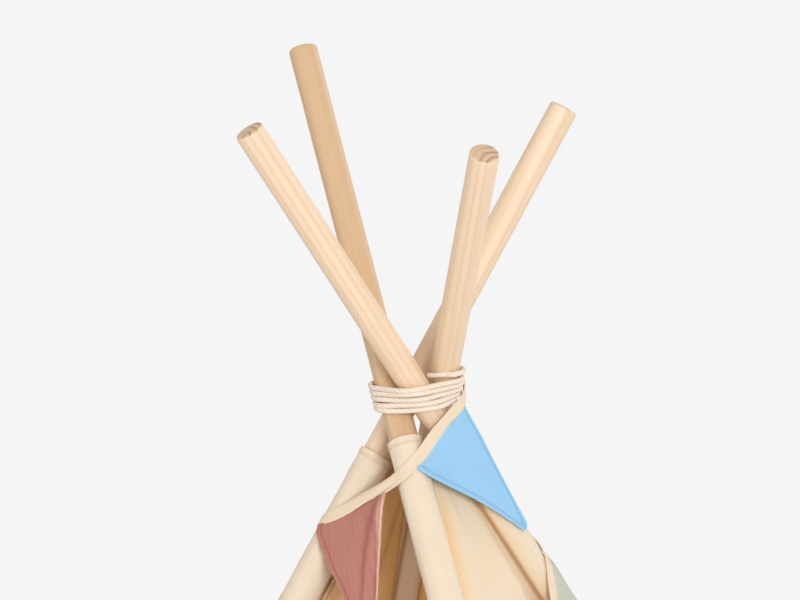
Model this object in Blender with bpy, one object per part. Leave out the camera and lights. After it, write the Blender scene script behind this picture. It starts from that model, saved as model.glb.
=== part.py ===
"""Kids teepee: four sectional poles lashed at the crown, a sleeved canvas cover and bunting.

The model stands on the floor, +Z up, its doorway facing -Y.
Its origin is the middle of the rectangle that the four foot caps stand in.
"""
from math import atan2, ceil, cos, degrees, exp, pi, radians, sin, tan

import bmesh
import bpy
import numpy as np
from mathutils import Matrix, Vector

# Stance of the frame
CROSSING_HEIGHT = 1.277
FRONT_LEFT_REACH = 0.7945
FRONT_RIGHT_REACH = 0.692
BACK_RIGHT_REACH = 0.774
BACK_LEFT_REACH = 0.811
FRONT_LEFT_DEG = 218.4
FRONT_RIGHT_DEG = 318.0
BACK_RIGHT_DEG = 44.0
BACK_LEFT_DEG = 128.0
# the poles pivot in the lashing, this far above where they cross
HINGE_RISE = 0.0065

# Poles
POLE_RADIUS = 0.015
POLE_LENGTH = 1.840
FRONT_RIGHT_EXTRA = 0.006
POLE_EDGE = 0.003
JOINT_EDGE = 0.001
LOWER_LENGTH_SHARE = 0.5
CROWN_SPREAD_SHARE = 5 / 3
POLE_OFFSET = POLE_RADIUS * CROWN_SPREAD_SHARE
POLE_SIDES = 24
FIT_GAP = 0.0003

# Ferrules and foot caps
FERRULE_WALL = 0.001
FERRULE_LENGTH = 0.110
CAP_LENGTH = 0.036
SOLE_THICKNESS = 0.003

# Canvas cover
CANVAS = 0.0012
SLEEVE_SIDES = 20
SLEEVE_HEM = 0.018
HEM_TURN = 0.0008
FRONT_RIGHT_SLEEVE_DROP = 0.042
OTHER_SLEEVE_DROP = 0.070
COVER_DROP = 0.062
HEM_HEIGHT = 0.020
WALL_SAG_SHARE = 0.02
FOLD_DEPTH_SHARE = 0.05
FOLD_FADE = 0.45
FOLDS = 3
HALF_COLUMNS = 10
WALL_ROWS = 12
ROW_CROWDING = 1.5

# Door curtains, drawn back behind the front poles and tied
CURTAIN_WIDTH = 0.150
CURTAIN_START = 0.009
PLEATS = 2
PLEAT_DEPTH_SHARE = 0.35
CURTAIN_COLUMNS = 12
CURTAIN_ROWS = 18
TIE_HEIGHT = 0.540
TIE_WIDTH = 0.026
TIE_CORNER = 0.002
TIE_CORNER_STEPS = 3
# share of the crossing height down from the crown, share of the curtain's width
RIGHT_CURTAIN_SHARES = ((0.0, 0.27), (0.08, 0.235), (0.098, 0.17), (0.12, 0.135), (0.30, 0.18),
                        (0.577, 0.26), (0.80, 0.62), (1.0, 1.0))
LEFT_CURTAIN_SHARES = ((0.0, 0.155), (0.09, 0.13), (0.12, 0.135), (0.30, 0.18), (0.577, 0.26),
                       (0.80, 0.62), (1.0, 1.0))

# Crown lashing
ROPE_DIAMETER = 0.0050
ROPE_PITCH = 0.0056
ROPE_TURNS = 5.1
ROPE_START_DEG = -6.0
ROPE_LOW = -0.004
ROPE_TILT = 0.0045
ROPE_HIGH_SIDE_DEG = 10.0
ROPE_LIFT = 0.006
# turns before the rope's end at which it starts to lift, and the turns that it takes
ROPE_LIFT_START = 0.65
ROPE_LIFT_TURNS = 0.45
ROPE_STANDOFF = 0.0022
POINTS_PER_TURN = 28
END_WRAP_LENGTH = 0.009
END_WRAP_WALL = 0.0003
END_WRAP_SIDES = 12

# Bunting: a folded tape round the cover, pennants sewn under it
TAPE_WIDTH = 0.013
TAPE_THICKNESS = 0.0016
TAPE_STEP = 0.006
BUNTING_DROP = 0.290
BUNTING_GAP = 0.0009
# the tape leaves the sleeves to reach the rope, in rope diameters below the lashing's first turn
REACH_START = 2
REACH_SPAN = 3
# where the tape hangs slack beside the crown
SLACK = 0.0045
SLACK_DEG = 6.0
SLACK_SPREAD_DEG = 17.0
SLACK_DROP = 0.012
SLACK_HEIGHT = 0.018
NORMAL_STEP_DEG = 4.0
ROUTE_STEPS = 12
# compass angle in degrees, share of the bunting's drop below the crossing
BUNTING_ROUTE_SHARES = ((75, -0.07), (48, -0.062), (28, -0.05), (18, -0.012), (8, 0.02), (-10, 0.033),
                        (-29, 0.047), (-50, 0.115), (-73, 0.177), (-88, 0.227), (-109, 0.279),
                        (-133, 0.335), (-148, 0.395), (-164, 0.44), (-190, 0.45), (-232, 0.44),
                        (-262, 0.41), (-285, 0.42), (-300, 0.44), (-311, 0.47), (-318, 0.50),
                        (-323, 0.53), (-328, 0.575), (-333, 0.635), (-337, 0.70), (-341, 0.77),
                        (-347, 0.835), (-360, 0.895), (-380, 0.945), (-404, 0.98), (-412, 1.0))
PENNANT_COLORS = (0, 1, 2, 0, 2, 1)
PENNANT_WIDTH = 0.096
PENNANT_LENGTH = 0.147
PENNANT_CLOTH = 0.0012
PENNANT_PITCH = 0.140
SEAM_GAP = 0.0005
FIRST_PENNANT = 0.066
TIP_SHARE = 0.10
HANG_SHARE = 0.30
PENNANT_LIFT = 0.0016
PENNANT_COLUMNS = 10
PENNANT_ROWS = 10

# Sizes that follow from the above
FERRULE_BORE = POLE_RADIUS + FIT_GAP
FERRULE_RADIUS = FERRULE_BORE + FERRULE_WALL
SLEEVE_BORE = FERRULE_RADIUS + FIT_GAP
SLEEVE_RADIUS = SLEEVE_BORE + CANVAS
CLEAR_RADIUS = SLEEVE_RADIUS + FIT_GAP
ROPE_RADIUS = ROPE_DIAMETER / 2
TIE_MARGIN = CANVAS / 2 + FIT_GAP
TOLERANCE = FIT_GAP / 100

# The taut loop round the poles is found by trying directions this many degrees apart
DIRECTION_STEP_DEG = 2
LEAST_FACING = 0.15


class Pole:
    """One pole's line, from its foot on the floor up past the crossing."""

    def __init__(self, name, azimuth_deg, reach, sleeve_drop, extra=0.0):
        azimuth = radians(azimuth_deg)
        self.name = name
        self.sleeve_drop = sleeve_drop
        self.length = POLE_LENGTH + extra
        self.out = Vector((cos(azimuth), sin(azimuth), 0))
        self.side = Vector((-sin(azimuth), cos(azimuth), 0))
        self.foot = self.out * reach - self.side * POLE_OFFSET
        self.crossing = Vector((0, 0, CROSSING_HEIGHT)) - self.side * POLE_OFFSET
        self.up = (self.crossing - self.foot).normalized()
        self.below = (self.crossing - self.foot).length
        self.tilt = atan2(reach, CROSSING_HEIGHT)
        self.hinge = self.at(CROSSING_HEIGHT + HINGE_RISE)
        self.empty = None

    def at(self, height):
        return self.crossing + self.up * ((height - CROSSING_HEIGHT) / self.up.z)

    def frame(self):
        across = self.side
        matrix = Matrix((across.cross(self.up), across, self.up)).transposed().to_4x4()
        matrix.translation = self.foot
        return matrix

    def pole_base(self):
        """Height along the pole of its sawn end, a sole's thickness above the floor."""
        return (SOLE_THICKNESS + POLE_RADIUS * sin(self.tilt)) / cos(self.tilt)


def material(name, color, roughness, metallic=0.0):
    mat = bpy.data.materials.new(name)
    mat.use_nodes = True
    shader = mat.node_tree.nodes["Principled BSDF"]
    shader.inputs["Base Color"].default_value = (*color, 1.0)
    shader.inputs["Roughness"].default_value = roughness
    shader.inputs["Metallic"].default_value = metallic
    return mat


def add_empty(name, location, parent=None):
    empty = bpy.data.objects.new(name, None)
    bpy.context.collection.objects.link(empty)
    empty.location = location
    empty.parent = parent
    return empty


def add_object(name, bm, mat, anchor, world_place):
    """Makes the mesh an object whose origin is its anchor's, which stands at world_place."""
    bmesh.ops.translate(bm, verts=bm.verts, vec=-world_place)
    mesh = bpy.data.meshes.new(name)
    bm.to_mesh(mesh)
    bm.free()
    mesh.materials.append(mat)
    mesh.shade_smooth()
    mesh.set_sharp_from_angle(angle=radians(40))
    obj = bpy.data.objects.new(name, mesh)
    bpy.context.collection.objects.link(obj)
    obj.parent = anchor
    return obj


def solidify(obj, thickness):
    mod = obj.modifiers.new("cloth", "SOLIDIFY")
    mod.thickness = thickness
    mod.offset = 0
    mod.use_rim = True


def turned(profile, sides, closed):
    """Spins a profile of (radius, height) points round +Z."""
    bm = bmesh.new()
    verts = [bm.verts.new((radius, 0, height)) for radius, height in profile]
    edges = [bm.edges.new(pair) for pair in zip(verts, verts[1:])]
    if closed:
        edges.append(bm.edges.new((verts[-1], verts[0])))
    bmesh.ops.spin(bm, geom=verts + edges, cent=(0, 0, 0), axis=(0, 0, 1), dvec=(0, 0, 0),
                   angle=2 * pi, steps=sides, use_merge=True, use_duplicate=False)
    bmesh.ops.remove_doubles(bm, verts=bm.verts, dist=TOLERANCE)
    bmesh.ops.recalc_face_normals(bm, faces=bm.faces)
    return bm


def rod_profile(low, high, radius, low_edge, high_edge, steps):
    """Half outline of a rod with rounded ends."""
    angles = [pi / 2 * i / steps for i in range(steps + 1)]
    points = [(0, low)]
    points += [(radius - low_edge * (1 - sin(a)), low + low_edge * (1 - cos(a))) for a in angles]
    points += [(radius - high_edge * (1 - cos(a)), high - high_edge * (1 - sin(a))) for a in angles]
    points.append((0, high))
    return points


def grid_surface(rows):
    """A sheet of quads through rows of points."""
    bm = bmesh.new()
    lines = [[bm.verts.new(point) for point in row] for row in rows]
    for low, high in zip(lines, lines[1:]):
        for k in range(len(low) - 1):
            bm.faces.new((low[k], low[k + 1], high[k + 1], high[k]))
    return bm


def ring_of_strip(rows):
    """A closed bar through four-cornered sections, capped at both ends."""
    bm = bmesh.new()
    loops = [[bm.verts.new(point) for point in row] for row in rows]
    for low, high in zip(loops, loops[1:]):
        for k in range(len(low)):
            n = (k + 1) % len(low)
            bm.faces.new((low[k], low[n], high[n], high[k]))
    bm.faces.new(loops[0])
    bm.faces.new(loops[-1])
    bmesh.ops.recalc_face_normals(bm, faces=bm.faces)
    return bm


def smooth(share):
    share = min(max(share, 0.0), 1.0)
    return share * share * (3 - 2 * share)


def table_value(table, share):
    """Reads a table of pairs with soft steps between its rows."""
    for (x0, y0), (x1, y1) in zip(table, table[1:]):
        if share <= x1:
            return y0 + (y1 - y0) * smooth((share - x0) / (x1 - x0))
    return table[-1][1]


# Pieces of one pole

def add_pole_pieces(pole, wood, steel, rubber, canvas):
    base = pole.pole_base()
    top = pole.length
    split = base + (top - base) * LOWER_LENGTH_SHARE
    half_gap = FIT_GAP / 2
    place = pole.frame()

    def piece(name, profile, sides, closed, mat):
        bm = turned(profile, sides, closed)
        bm.transform(place)
        return add_object(pole.name + name, bm, mat, pole.empty, pole.hinge)

    lower = rod_profile(base, split - half_gap, POLE_RADIUS, JOINT_EDGE, JOINT_EDGE, 1)
    piece("_lower_pole", lower, POLE_SIDES, False, wood)
    upper = rod_profile(split + half_gap, top, POLE_RADIUS, JOINT_EDGE, POLE_EDGE, 3)
    piece("_upper_pole", upper, POLE_SIDES, False, wood)

    low, high = split - FERRULE_LENGTH / 2, split + FERRULE_LENGTH / 2
    bore, outer, lip = FERRULE_BORE, FERRULE_RADIUS, FERRULE_WALL / 2
    tube = [(bore, low), (bore, high), (outer - lip, high), (outer, high - lip),
            (outer, low + lip), (outer - lip, low)]
    piece("_ferrule", tube, POLE_SIDES, True, steel)

    sleeve_low = CAP_LENGTH + FIT_GAP
    sleeve_high = pole.below - pole.sleeve_drop
    hem_bore = SLEEVE_BORE - HEM_TURN
    sleeve = [(hem_bore, sleeve_low), (hem_bore, sleeve_low + SLEEVE_HEM),
              (SLEEVE_BORE, sleeve_low + SLEEVE_HEM + HEM_TURN),
              (SLEEVE_BORE, sleeve_high - SLEEVE_HEM - HEM_TURN),
              (hem_bore, sleeve_high - SLEEVE_HEM), (hem_bore, sleeve_high),
              (SLEEVE_RADIUS - HEM_TURN, sleeve_high), (SLEEVE_RADIUS, sleeve_high - HEM_TURN),
              (SLEEVE_RADIUS, sleeve_low)]
    piece("_sleeve", sleeve, SLEEVE_SIDES, True, canvas)
    return add_foot_cap(pole, place, base, rubber)


def add_foot_cap(pole, place, base, rubber):
    """A rubber boot over the pole's end, its sole cut level with the floor."""
    seat = base - FIT_GAP
    buried = -(SLEEVE_RADIUS * tan(pole.tilt) + SOLE_THICKNESS)
    rim = FERRULE_WALL
    profile = [(0, buried), (SLEEVE_RADIUS, buried), (SLEEVE_RADIUS, CAP_LENGTH - rim),
               (SLEEVE_RADIUS - rim, CAP_LENGTH), (FERRULE_BORE, CAP_LENGTH), (FERRULE_BORE, seat),
               (0, seat)]
    bm = turned(profile, POLE_SIDES, False)
    bm.transform(place)
    cut = bmesh.ops.bisect_plane(bm, geom=bm.verts[:] + bm.edges[:] + bm.faces[:],
                                 plane_co=(0, 0, 0), plane_no=(0, 0, 1), clear_inner=True)
    rim_edges = [item for item in cut["geom_cut"] if isinstance(item, bmesh.types.BMEdge)]
    for vert in {vert for edge in rim_edges for vert in edge.verts}:
        vert.co.z = 0
    bmesh.ops.contextual_create(bm, geom=rim_edges)
    bmesh.ops.recalc_face_normals(bm, faces=bm.faces)
    footprint = [vert.co.copy() for vert in bm.verts]
    add_object(pole.name + "_foot_cap", bm, rubber, pole.empty, pole.hinge)
    return footprint


# Canvas cover

def side_frame(pole, other, height):
    """Start point, run direction, width and outward direction of the cover between two poles."""
    start, stop = pole.at(height), other.at(height)
    run = stop - start
    width = run.length
    run.normalize()
    rise = (pole.up + other.up).normalized()
    outward = run.cross(rise).normalized()
    if outward.dot(pole.out + other.out) < 0:
        outward.negate()
    return start, run, width, outward


def wall_bulge(share, width, drop):
    """Soft folds that fade down the wall, less the sag between its poles."""
    fade = exp(-drop / FOLD_FADE)
    folds = FOLD_DEPTH_SHARE * width * fade * sin(pi * FOLDS * share) ** 2
    return folds - WALL_SAG_SHARE * width * sin(pi * share) ** 2


def cover_heights(rows):
    """Row heights from the hem to the top edge, closer together near the crown."""
    top = CROSSING_HEIGHT - COVER_DROP
    return [HEM_HEIGHT + (top - HEM_HEIGHT) * (1 - (1 - i / rows) ** ROW_CROWDING)
            for i in range(rows + 1)]


def add_wall_half(name, pole, other, canvas):
    rows = []
    for height in cover_heights(WALL_ROWS):
        start, run, width, outward = side_frame(pole, other, height)
        first = CLEAR_RADIUS / run.cross(pole.up).length
        last = width / 2 - FIT_GAP / 2
        row = []
        for k in range(HALF_COLUMNS + 1):
            reach = first + (last - first) * k / HALF_COLUMNS
            bulge = wall_bulge(reach / width, width, CROSSING_HEIGHT - height)
            row.append(start + run * reach + outward * bulge)
        rows.append(row)
    obj = add_object(name, grid_surface(rows), canvas, pole.empty, pole.hinge)
    solidify(obj, CANVAS)


def curtain_heights():
    """Row heights of a curtain, with a straight stretch through its tie."""
    heights = [h for h in cover_heights(CURTAIN_ROWS) if abs(h - TIE_HEIGHT) > 2 * TIE_WIDTH]
    return sorted(heights + [TIE_HEIGHT - TIE_WIDTH, TIE_HEIGHT, TIE_HEIGHT + TIE_WIDTH])


def curtain_section(shares, height):
    """Reach past the pole and pleat depth of a curtain at one height."""
    reach = CURTAIN_WIDTH * table_value(shares, (CROSSING_HEIGHT - height) / CROSSING_HEIGHT)
    depth = PLEAT_DEPTH_SHARE * (reach - CURTAIN_START)
    return reach, depth


def curtain_seat(pole, run, outward):
    """How far inside the front the curtain lies, with its tie against the sleeve."""
    along = CURTAIN_START - TIE_MARGIN - CANVAS + TIE_CORNER / 2
    lean_run, lean_out = run.dot(pole.up), outward.dot(pole.up)
    square = 1 - lean_out**2
    cross = along * lean_run * lean_out
    short = CLEAR_RADIUS**2 - along**2 * (1 - lean_run**2)
    return (-cross + (cross**2 + square * short) ** 0.5) / square + CANVAS + TIE_MARGIN


def add_curtain(name, pole, other, shares, canvas):
    rows = []
    for height in curtain_heights():
        start, run, _, outward = side_frame(pole, other, height)
        reach, depth = curtain_section(shares, height)
        seat = curtain_seat(pole, run, outward)
        row = []
        for k in range(CURTAIN_COLUMNS + 1):
            share = k / CURTAIN_COLUMNS
            along = CURTAIN_START + (reach - CURTAIN_START) * share
            inward = seat + depth * sin(pi * PLEATS * share) ** 2
            place = start + run * along - outward * inward
            row.append(place + pole.up * ((height - place.z) / pole.up.z))
        rows.append(row)
    obj = add_object(name, grid_surface(rows), canvas, pole.empty, pole.hinge)
    solidify(obj, CANVAS)


def add_tie(name, pole, other, shares, canvas):
    """A strap round the gathered curtain, lying against its sleeve."""
    reach, depth = curtain_section(shares, TIE_HEIGHT)
    start, run, _, outward = side_frame(pole, other, TIE_HEIGHT)
    seat = curtain_seat(pole, run, outward)
    room = TIE_MARGIN + CANVAS
    low_w, high_w = CURTAIN_START - room, reach + room
    low_d, high_d = seat - TIE_MARGIN, seat + depth + room
    rise = pole.up * (TIE_WIDTH / 2)

    def outline(grow):
        corners = []
        radius = TIE_CORNER + grow
        for cx, cd, first in ((high_w, high_d, 0), (low_w, high_d, 1), (low_w, low_d, 2),
                              (high_w, low_d, 3)):
            sx = 1 if cx == high_w else -1
            sd = 1 if cd == high_d else -1
            for step in range(TIE_CORNER_STEPS + 1):
                angle = (first + step / TIE_CORNER_STEPS) * pi / 2
                x = cx + sx * (grow - radius) + radius * cos(angle)
                d = cd + sd * (grow - radius) + radius * sin(angle)
                corners.append(start + run * x - outward * d)
        return corners

    inner, outer = outline(0), outline(CANVAS)
    rings = [[p - rise for p in inner], [p + rise for p in inner],
             [p + rise for p in outer], [p - rise for p in outer]]
    bm = bmesh.new()
    loops = [[bm.verts.new(p) for p in ring] for ring in rings]
    for low, high in zip(loops, loops[1:] + loops[:1]):
        for k in range(len(low)):
            n = (k + 1) % len(low)
            bm.faces.new((low[k], low[n], high[n], high[k]))
    bmesh.ops.recalc_face_normals(bm, faces=bm.faces)
    add_object(name, bm, canvas, pole.empty, pole.hinge)


# Crown lashing and bunting, both laid on the hull of the four poles

DIRECTIONS = np.radians(np.arange(0, 360, DIRECTION_STEP_DEG))
FACING = np.stack([np.cos(DIRECTIONS), np.sin(DIRECTIONS)], axis=1)


def hull_supports(poles, rise, radius):
    """How far the poles' hull reaches in each direction, at a rise above the crossing."""
    reaches = []
    for pole in poles:
        centre = pole.at(CROSSING_HEIGHT + rise)
        along = FACING @ np.array(pole.out[:2]) * radius / pole.up.z
        across = FACING @ np.array(pole.side[:2]) * radius
        reaches.append(FACING @ np.array(centre[:2]) + np.hypot(along, across))
    return np.max(reaches, axis=0)


def hull_reach(poles, angle, rise, radius):
    """Distance from the centre line to a taut loop round the poles, at a compass angle."""
    supports = hull_supports(poles, rise, radius)
    facing = np.cos(DIRECTIONS - angle)
    ahead = facing > LEAST_FACING
    return float((supports[ahead] / facing[ahead]).min())


def polar(angle, reach, rise):
    return Vector((reach * cos(angle), reach * sin(angle), CROSSING_HEIGHT + rise))


def least_self_gap(points, skip, diameter):
    """Least space between a cord's surface and its own other turns."""
    places = np.array([tuple(p) for p in points])
    least = float("inf")
    for i in range(len(places) - skip):
        away = np.linalg.norm(places[i + skip:] - places[i], axis=1)
        least = min(least, float(away.min()))
    return least - diameter


def rope_points(poles):
    count = ceil(ROPE_TURNS * POINTS_PER_TURN)
    points = []
    for i in range(count + 1):
        turn = i / POINTS_PER_TURN
        angle = radians(ROPE_START_DEG) - 2 * pi * turn
        tilt = ROPE_TILT * cos(angle - radians(ROPE_HIGH_SIDE_DEG))
        lift = ROPE_LIFT * smooth((turn - ROPE_TURNS + ROPE_LIFT_START) / ROPE_LIFT_TURNS)
        rise = ROPE_LOW + ROPE_PITCH * turn + tilt + lift
        reach = hull_reach(poles, angle, rise, POLE_RADIUS + ROPE_STANDOFF + ROPE_RADIUS)
        points.append(polar(angle, reach, rise))
    return points


def add_rope(poles, crown, cotton, tape):
    points = rope_points(poles)
    print("least self-gap of the crown rope, mm:",
          round(least_self_gap(points, POINTS_PER_TURN // 2, ROPE_DIAMETER) * 1000, 2))
    curve = bpy.data.curves.new("crown_rope", "CURVE")
    curve.dimensions = "3D"
    curve.bevel_depth = ROPE_RADIUS
    curve.bevel_resolution = 1
    curve.use_fill_caps = True
    spline = curve.splines.new("POLY")
    spline.points.add(len(points) - 1)
    for knot, place in zip(spline.points, points):
        knot.co = (*(place - crown.location), 1)
    curve.materials.append(cotton)
    rope = bpy.data.objects.new("crown_rope", curve)
    bpy.context.collection.objects.link(rope)
    rope.parent = crown

    heading = (points[0] - points[1]).normalized()
    radius = ROPE_RADIUS + END_WRAP_WALL
    profile = rod_profile(FIT_GAP, FIT_GAP + END_WRAP_LENGTH, radius, END_WRAP_WALL, JOINT_EDGE, 1)
    bm = turned(profile, END_WRAP_SIDES, False)
    bm.transform(Matrix.Translation(points[0]) @ heading.to_track_quat("Z", "Y").to_matrix().to_4x4())
    add_object("rope_end_wrap", bm, tape, crown, crown.location)


def bunting_base(poles, angle, rise, lift):
    """A point of the bunting's middle surface, laid over the rope or over the sleeves."""
    over_rope = ROPE_STANDOFF + ROPE_DIAMETER + FIT_GAP
    over_sleeve = SLEEVE_RADIUS - POLE_RADIUS
    low = ROPE_LOW - ROPE_DIAMETER * (REACH_START + REACH_SPAN)
    share = smooth((rise - low) / (ROPE_DIAMETER * REACH_SPAN))
    beside = (degrees(angle) - SLACK_DEG) / SLACK_SPREAD_DEG
    under = (rise + SLACK_DROP) / SLACK_HEIGHT
    slack = SLACK * exp(-beside**2 - under**2)
    skin = over_sleeve + (over_rope - over_sleeve) * share + BUNTING_GAP + slack
    return polar(angle, hull_reach(poles, angle, rise, POLE_RADIUS + skin) + lift, rise)


def surface_normal(poles, angle, rise):
    """Outward normal of the bunting's surface."""
    step_a, step_z = radians(NORMAL_STEP_DEG), ROPE_DIAMETER
    east = bunting_base(poles, angle + step_a, rise, 0) - bunting_base(poles, angle - step_a, rise, 0)
    north = bunting_base(poles, angle, rise + step_z, 0) - bunting_base(poles, angle, rise - step_z, 0)
    return east.cross(north).normalized()


def bunting_stations(poles):
    """Evenly spaced points along the tape: place, heading, normal and compass angle."""
    knots = np.array(BUNTING_ROUTE_SHARES, dtype=float)
    spans = np.arange(len(knots))
    fine = np.linspace(0, len(knots) - 1, (len(knots) - 1) * ROUTE_STEPS + 1)
    tangents = np.gradient(knots, axis=0)
    cell = np.minimum(fine.astype(int), len(knots) - 2)
    t = (fine - spans[cell])[:, None]
    a, b, ta, tb = knots[cell], knots[cell + 1], tangents[cell], tangents[cell + 1]
    route = ((2 * t**3 - 3 * t**2 + 1) * a + (t**3 - 2 * t**2 + t) * ta
             + (3 * t**2 - 2 * t**3) * b + (t**3 - t**2) * tb)
    angles, rises = np.radians(route[:, 0]), -BUNTING_DROP * route[:, 1]
    lift = TAPE_THICKNESS / 2
    raw = [bunting_base(poles, float(u), float(v), lift) for u, v in zip(angles, rises)]
    lengths = np.concatenate([[0], np.cumsum([(q - p).length for p, q in zip(raw, raw[1:])])])
    count = int(lengths[-1] / TAPE_STEP)
    evenly = np.linspace(0, lengths[-1], count + 1)
    angles, rises = np.interp(evenly, lengths, angles), np.interp(evenly, lengths, rises)
    places = [bunting_base(poles, float(u), float(v), lift) for u, v in zip(angles, rises)]
    stations = []
    for i, place in enumerate(places):
        heading = (places[min(i + 1, count)] - places[max(i - 1, 0)]).normalized()
        normal = surface_normal(poles, float(angles[i]), float(rises[i]))
        normal = (normal - heading * normal.dot(heading)).normalized()
        stations.append((place, heading, normal, degrees(float(angles[i]))))
    return stations, float(lengths[-1])


def lower_side(heading, normal):
    """Direction across the tape, towards its lower edge."""
    across = heading.cross(normal).normalized()
    return across if across.z < 0 else -across


def tape_section(station):
    place, heading, normal, _ = station
    half = lower_side(heading, normal) * (TAPE_WIDTH / 2)
    thick = normal * (TAPE_THICKNESS / 2)
    return [place - half - thick, place + half - thick, place + half + thick, place - half + thick]


def add_tapes(poles, stations, owners, cotton):
    """The tape, cut where it crosses the middle of each wall, so each length folds with its pole."""
    for name, pole, first, last in owners:
        part = stations[first:last + 1]
        rows = [tape_section(station) for station in part]
        half_gap = part[-1][1] * (FIT_GAP / 2)
        rows[0] = [p + part[0][1] * (FIT_GAP / 2) for p in rows[0]]
        rows[-1] = [p - half_gap for p in rows[-1]]
        add_object(name, ring_of_strip(rows), cotton, pole.empty, pole.hinge)


def walk_down(poles, place, direction, distance, lift):
    """Follows the cover's surface from a point, keeping its direction."""
    steps = max(1, ceil(distance / TAPE_STEP))
    for _ in range(steps):
        place = place + direction * (distance / steps)
        angle = atan2(place.y, place.x)
        place = bunting_base(poles, angle, place.z - CROSSING_HEIGHT, lift)
    return place


def over_cover(poles, place, lift):
    """The place itself where it stands clear of the cover, or else the cover's surface beside it."""
    surface = bunting_base(poles, atan2(place.y, place.x), place.z - CROSSING_HEIGHT, lift)
    return surface if surface.xy.length > place.xy.length else place


def add_pennant(name, poles, owner, stations, start, cloth):
    """A tapered flag drawn taut over the cover, its top edge under the tape's lower edge."""
    lift = TAPE_THICKNESS / 2 + PENNANT_LIFT
    middle = stations[min(int((start + PENNANT_WIDTH / 2) / TAPE_STEP), len(stations) - 1)]
    fall = lower_side(middle[1], middle[2])
    down = Vector((0, 0, -1))
    down = (down - middle[2] * down.dot(middle[2])).normalized()
    fall = (fall * (1 - HANG_SHARE) + down * HANG_SHARE).normalized()
    first = TAPE_WIDTH / 2 + SEAM_GAP

    def seam_point(along):
        index = min(along / TAPE_STEP, len(stations) - 2)
        base, nxt = stations[int(index)], stations[int(index) + 1]
        blend = index - int(index)
        place = base[0].lerp(nxt[0], blend)
        edge = lower_side(base[1], base[2]).lerp(lower_side(nxt[1], nxt[2]), blend).normalized()
        return walk_down(poles, place, edge, first, lift)

    centre = start + PENNANT_WIDTH / 2
    shares = [k / PENNANT_COLUMNS - 0.5 for k in range(PENNANT_COLUMNS + 1)]
    seam = [seam_point(centre + PENNANT_WIDTH * share) for share in shares]
    across = (seam[-1] - seam[0]).normalized() * (PENNANT_WIDTH * TIP_SHARE)
    end = walk_down(poles, seam_point(centre), fall, PENNANT_LENGTH, lift)
    tip = [end + across * share for share in shares]
    rows = []
    for i in range(PENNANT_ROWS + 1):
        share = i / PENNANT_ROWS
        rows.append([over_cover(poles, high.lerp(low, share), lift) for high, low in zip(seam, tip)])
    obj = add_object(name, grid_surface(rows), cloth, owner.empty, owner.hinge)
    solidify(obj, PENNANT_CLOTH)


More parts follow.
